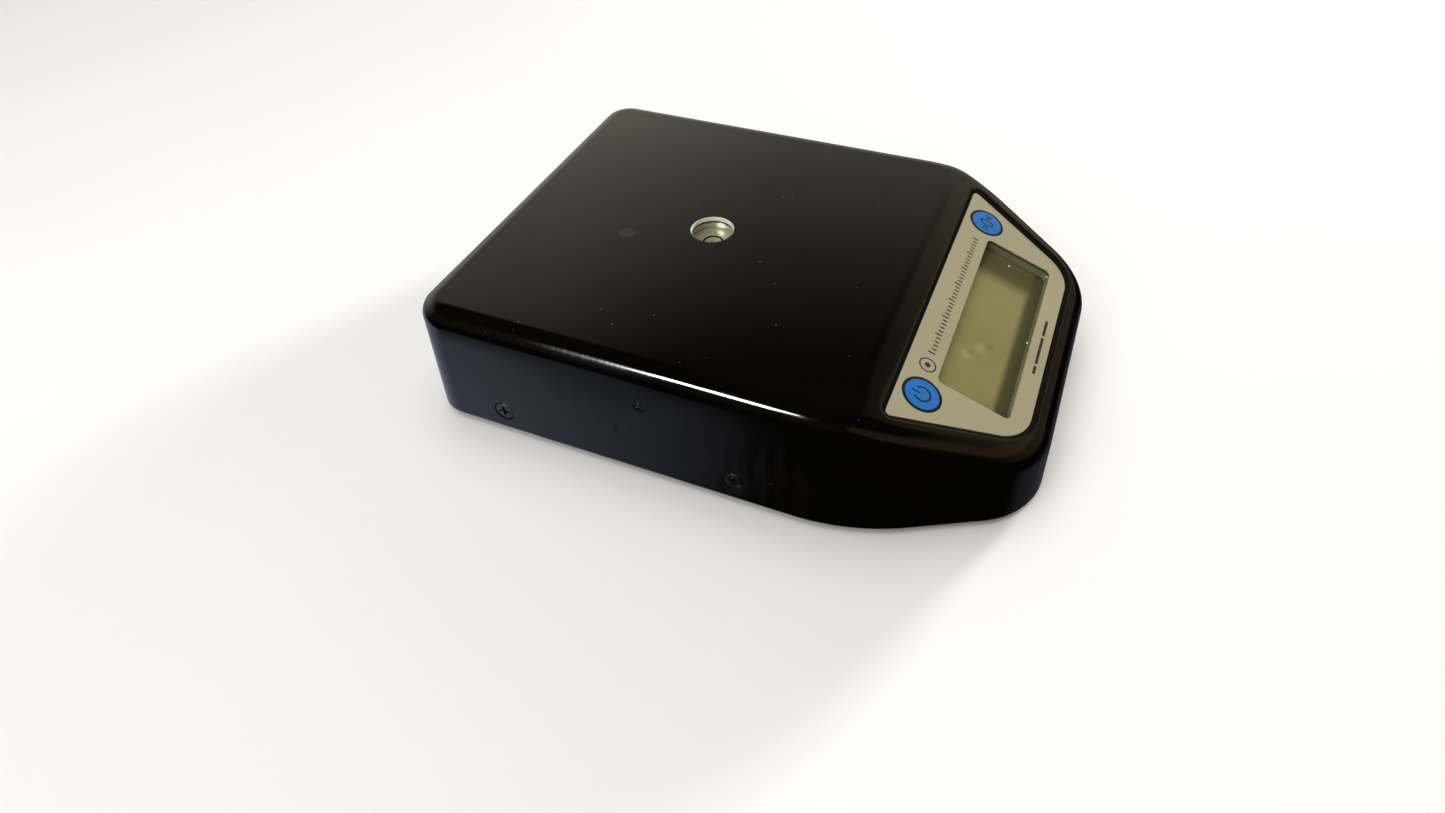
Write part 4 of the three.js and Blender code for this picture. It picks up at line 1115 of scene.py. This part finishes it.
for finish, nodes in REST:
    for node in nodes:
        dress(node, finish, bevel=0.0 if node.endswith("lead") else 0.2)

# ---- stage, light and camera ----


def area_light(name, width, height, power, place, aim, color):
    """A soft rectangular lamp."""
    lamp = bpy.data.lights.new(name, "AREA")
    lamp.shape = "RECTANGLE"
    lamp.size = width
    lamp.size_y = height
    lamp.energy = power
    lamp.color = color
    obj = add_object(name, lamp)
    obj.location = place
    obj.rotation_euler = (Vector(aim) - Vector(place)).to_track_quat("-Z", "Y").to_euler()
    return obj


class Sky(Shading):
    """The world's shader, made of patterns of light over the directions of the sky."""

    def __init__(self):
        self.world = bpy.data.worlds.new("room")
        self.world.use_nodes = True
        super().__init__(self.world.node_tree)
        self.direction = self.node("ShaderNodeTexCoord").outputs["Generated"]
        self.axes = self.node("ShaderNodeSeparateXYZ")
        self.link(self.direction, self.axes.inputs[0])

    def stepped(self, value, stops):
        """A ramp with stops from -1 to 1."""
        half = self.node("ShaderNodeMath", operation="MULTIPLY_ADD")
        half.inputs[1].default_value = 0.5
        half.inputs[2].default_value = 0.5
        self.link(value, half.inputs[0])
        return self.ramp(half.outputs[0], [(level / 2 + 0.5, color) for level, color in stops])

    def along(self, axis, stops):
        return self.stepped(self.axes.outputs[axis], stops)

    def slanted(self, direction, stops):
        node = self.node("ShaderNodeVectorMath", operation="DOT_PRODUCT")
        node.inputs[1].default_value = Vector(direction).normalized()
        self.link(self.direction, node.inputs[0])
        return self.stepped(node.outputs["Value"], stops)

    def blend(self, kind, first, second):
        node = self.node("ShaderNodeMix", data_type="RGBA", blend_type=kind)
        node.inputs["Factor"].default_value = 1
        self.link(first, node.inputs[6])
        self.link(second, node.inputs[7])
        return node.outputs[2]

    def times(self, first, second):
        return self.blend("MULTIPLY", first, second)

    def plus(self, first, second):
        return self.blend("ADD", first, second)

    def shine(self, level, backdrop):
        """Lights the scene with level. The camera itself sees only the plain backdrop."""
        node = self.node("ShaderNodeMix", data_type="RGBA")
        node.inputs[7].default_value = (*backdrop, 1)
        self.link(self.node("ShaderNodeLightPath").outputs["Is Camera Ray"], node.inputs["Factor"])
        self.link(level, node.inputs[6])
        self.link(node.outputs[2], self.tree.nodes["Background"].inputs["Color"])
        bpy.context.scene.world = self.world


BLACK = (0, 0, 0)


def room_glow(sky):
    """Warm light of the room on the camera's far side: bright at the horizon, dark overhead."""
    height = sky.along("Z", (
        (-0.02, 0.0), (0.02, 0.75), (0.45, 0.72), (0.5, 0.5), (0.525, 0.4), (0.555, 0.33), (0.585, 0.21),
        (0.62, 0.13), (0.655, 0.05), (0.69, 0.01), (0.8, 0.006),
    ))
    across = sky.along("X", ((-0.5, 0.06), (0.3, 1.0)))
    tone = sky.along("Y", (
        (-0.45, (0.24, 0.18, 0.11)), (-0.3, (0.7, 0.58, 0.40)), (0.0, (0.9, 0.82, 0.66)),
        (0.15, (0.94, 0.88, 0.70)), (0.3, (1.0, 0.94, 0.76)),
    ))
    behind = sky.times(
        sky.along("Y", ((0.3, BLACK), (0.5, (0.25, 0.235, 0.2)))),
        sky.along("Z", ((-0.02, 0), (0.02, 1), (0.6, 1.0), (0.7, 0.0))),
    )
    return sky.plus(sky.times(sky.times(height, across), tone), sky.times(behind, across))


def front_glow(sky):
    """A brown patch high in front, which the sloping panel's rims reflect."""
    return sky.times(
        sky.along("Y", ((-0.46, (0.25, 0.165, 0.092)), (-0.34, BLACK))),
        sky.along("Z", ((0.3, 0), (0.4, 1), (0.62, 1), (0.7, 0))),
    )


def table_glow(sky):
    """A bluish glow from below, towards the back, which the near side wall reflects."""
    tone = sky.along("Y", (
        (0.22, BLACK), (0.26, (0.03, 0.03, 0.05)), (0.345, (0.19, 0.21, 0.28)), (0.55, (0.42, 0.46, 0.62)),
    ))
    slant = sky.slanted((1.0, 0.0, -1.12), ((0.0, 0), (0.03, 1)))
    return sky.times(sky.times(tone, slant), sky.along("Z", ((-0.05, 1), (0.0, 0))))


def corner_glow(sky):
    """A faint cool glow from below on the front and right, which the rounded front corner reflects."""
    tone = sky.along("Y", (
        (-0.88, BLACK), (-0.72, (0.062, 0.062, 0.078)), (-0.1, (0.072, 0.072, 0.086)), (0.1, BLACK),
    ))
    right = sky.along("X", ((-0.12, 0), (0.12, 1)))
    low = sky.along("Z", ((-0.85, 0), (-0.75, 1), (-0.45, 1), (-0.3, 0)))
    return sky.times(tone, sky.times(right, low))


def make_world():
    """A dim warm room, made of four glows that the gloss black cover reflects."""
    sky = Sky()
    above = sky.plus(room_glow(sky), front_glow(sky))
    below = sky.plus(table_glow(sky), corner_glow(sky))
    sky.shine(sky.plus(above, below), backdrop=(0.42, 0.42, 0.41))


def make_floor():
    """A pale floor that lights the scale but isn't mirrored in its gloss."""
    bm = bmesh.new()
    bmesh.ops.create_grid(bm, x_segments=2, y_segments=2, size=6)
    floor = add_object("floor", mesh_of(bm, "floor"))
    paper = Finish("pale_floor", (0.82, 0.82, 0.82), 0.7)
    paper.put("Base Color", paper.mix(paper.noise(3, 2), (0.81, 0.81, 0.815), (0.84, 0.84, 0.84)))
    floor.data.materials.append(paper.material)
    floor.visible_glossy = False


def make_camera():
    """Placed and turned to see the part as the photograph does."""
    camera = bpy.data.cameras.new("camera")
    camera.lens = 21.91
    obj = add_object("camera", camera)
    back = Vector((-0.62565, -0.29741, 0.72118))
    right = Vector((0.39288, -0.91880, -0.03807))
    up = back.cross(right)
    axes = Matrix((right, up, back)).transposed().to_4x4()
    obj.matrix_world = Matrix.Translation((-0.31236, -0.11646, 0.30193)) @ axes
    bpy.context.scene.camera = obj


def make_lights():
    """Three lamps that the gloss doesn't show, and one that is only a streak along the near edge."""
    lamps = [
        area_light("key_light", 0.32, 0.32, 46, (1.652, -0.805, 0.395), (0, -0.1, 0.047), (1.0, 0.98, 0.94)),
        area_light("ceiling_light", 2.2, 2.2, 39, (0.1, 0.2, 2.2), (0, 0, 0), (1.0, 0.99, 0.97)),
        area_light("fill_light", 0.9, 0.9, 9, (-1.0, 0.3, 0.9), (0, 0, 0.03), (1.0, 0.99, 0.95)),
    ]
    for lamp in lamps:
        lamp.visible_glossy = False
    near_edge = (-0.0985, -0.009, 0.06)
    streak = area_light("streak_light", 0.30, 0.215, 19, (-1.106, 0.427, 0.942), near_edge, (1, 1, 1))
    streak.visible_diffuse = False


make_floor()
make_camera()
make_world()
make_lights()

bpy.context.scene.view_settings.view_transform = "Standard"
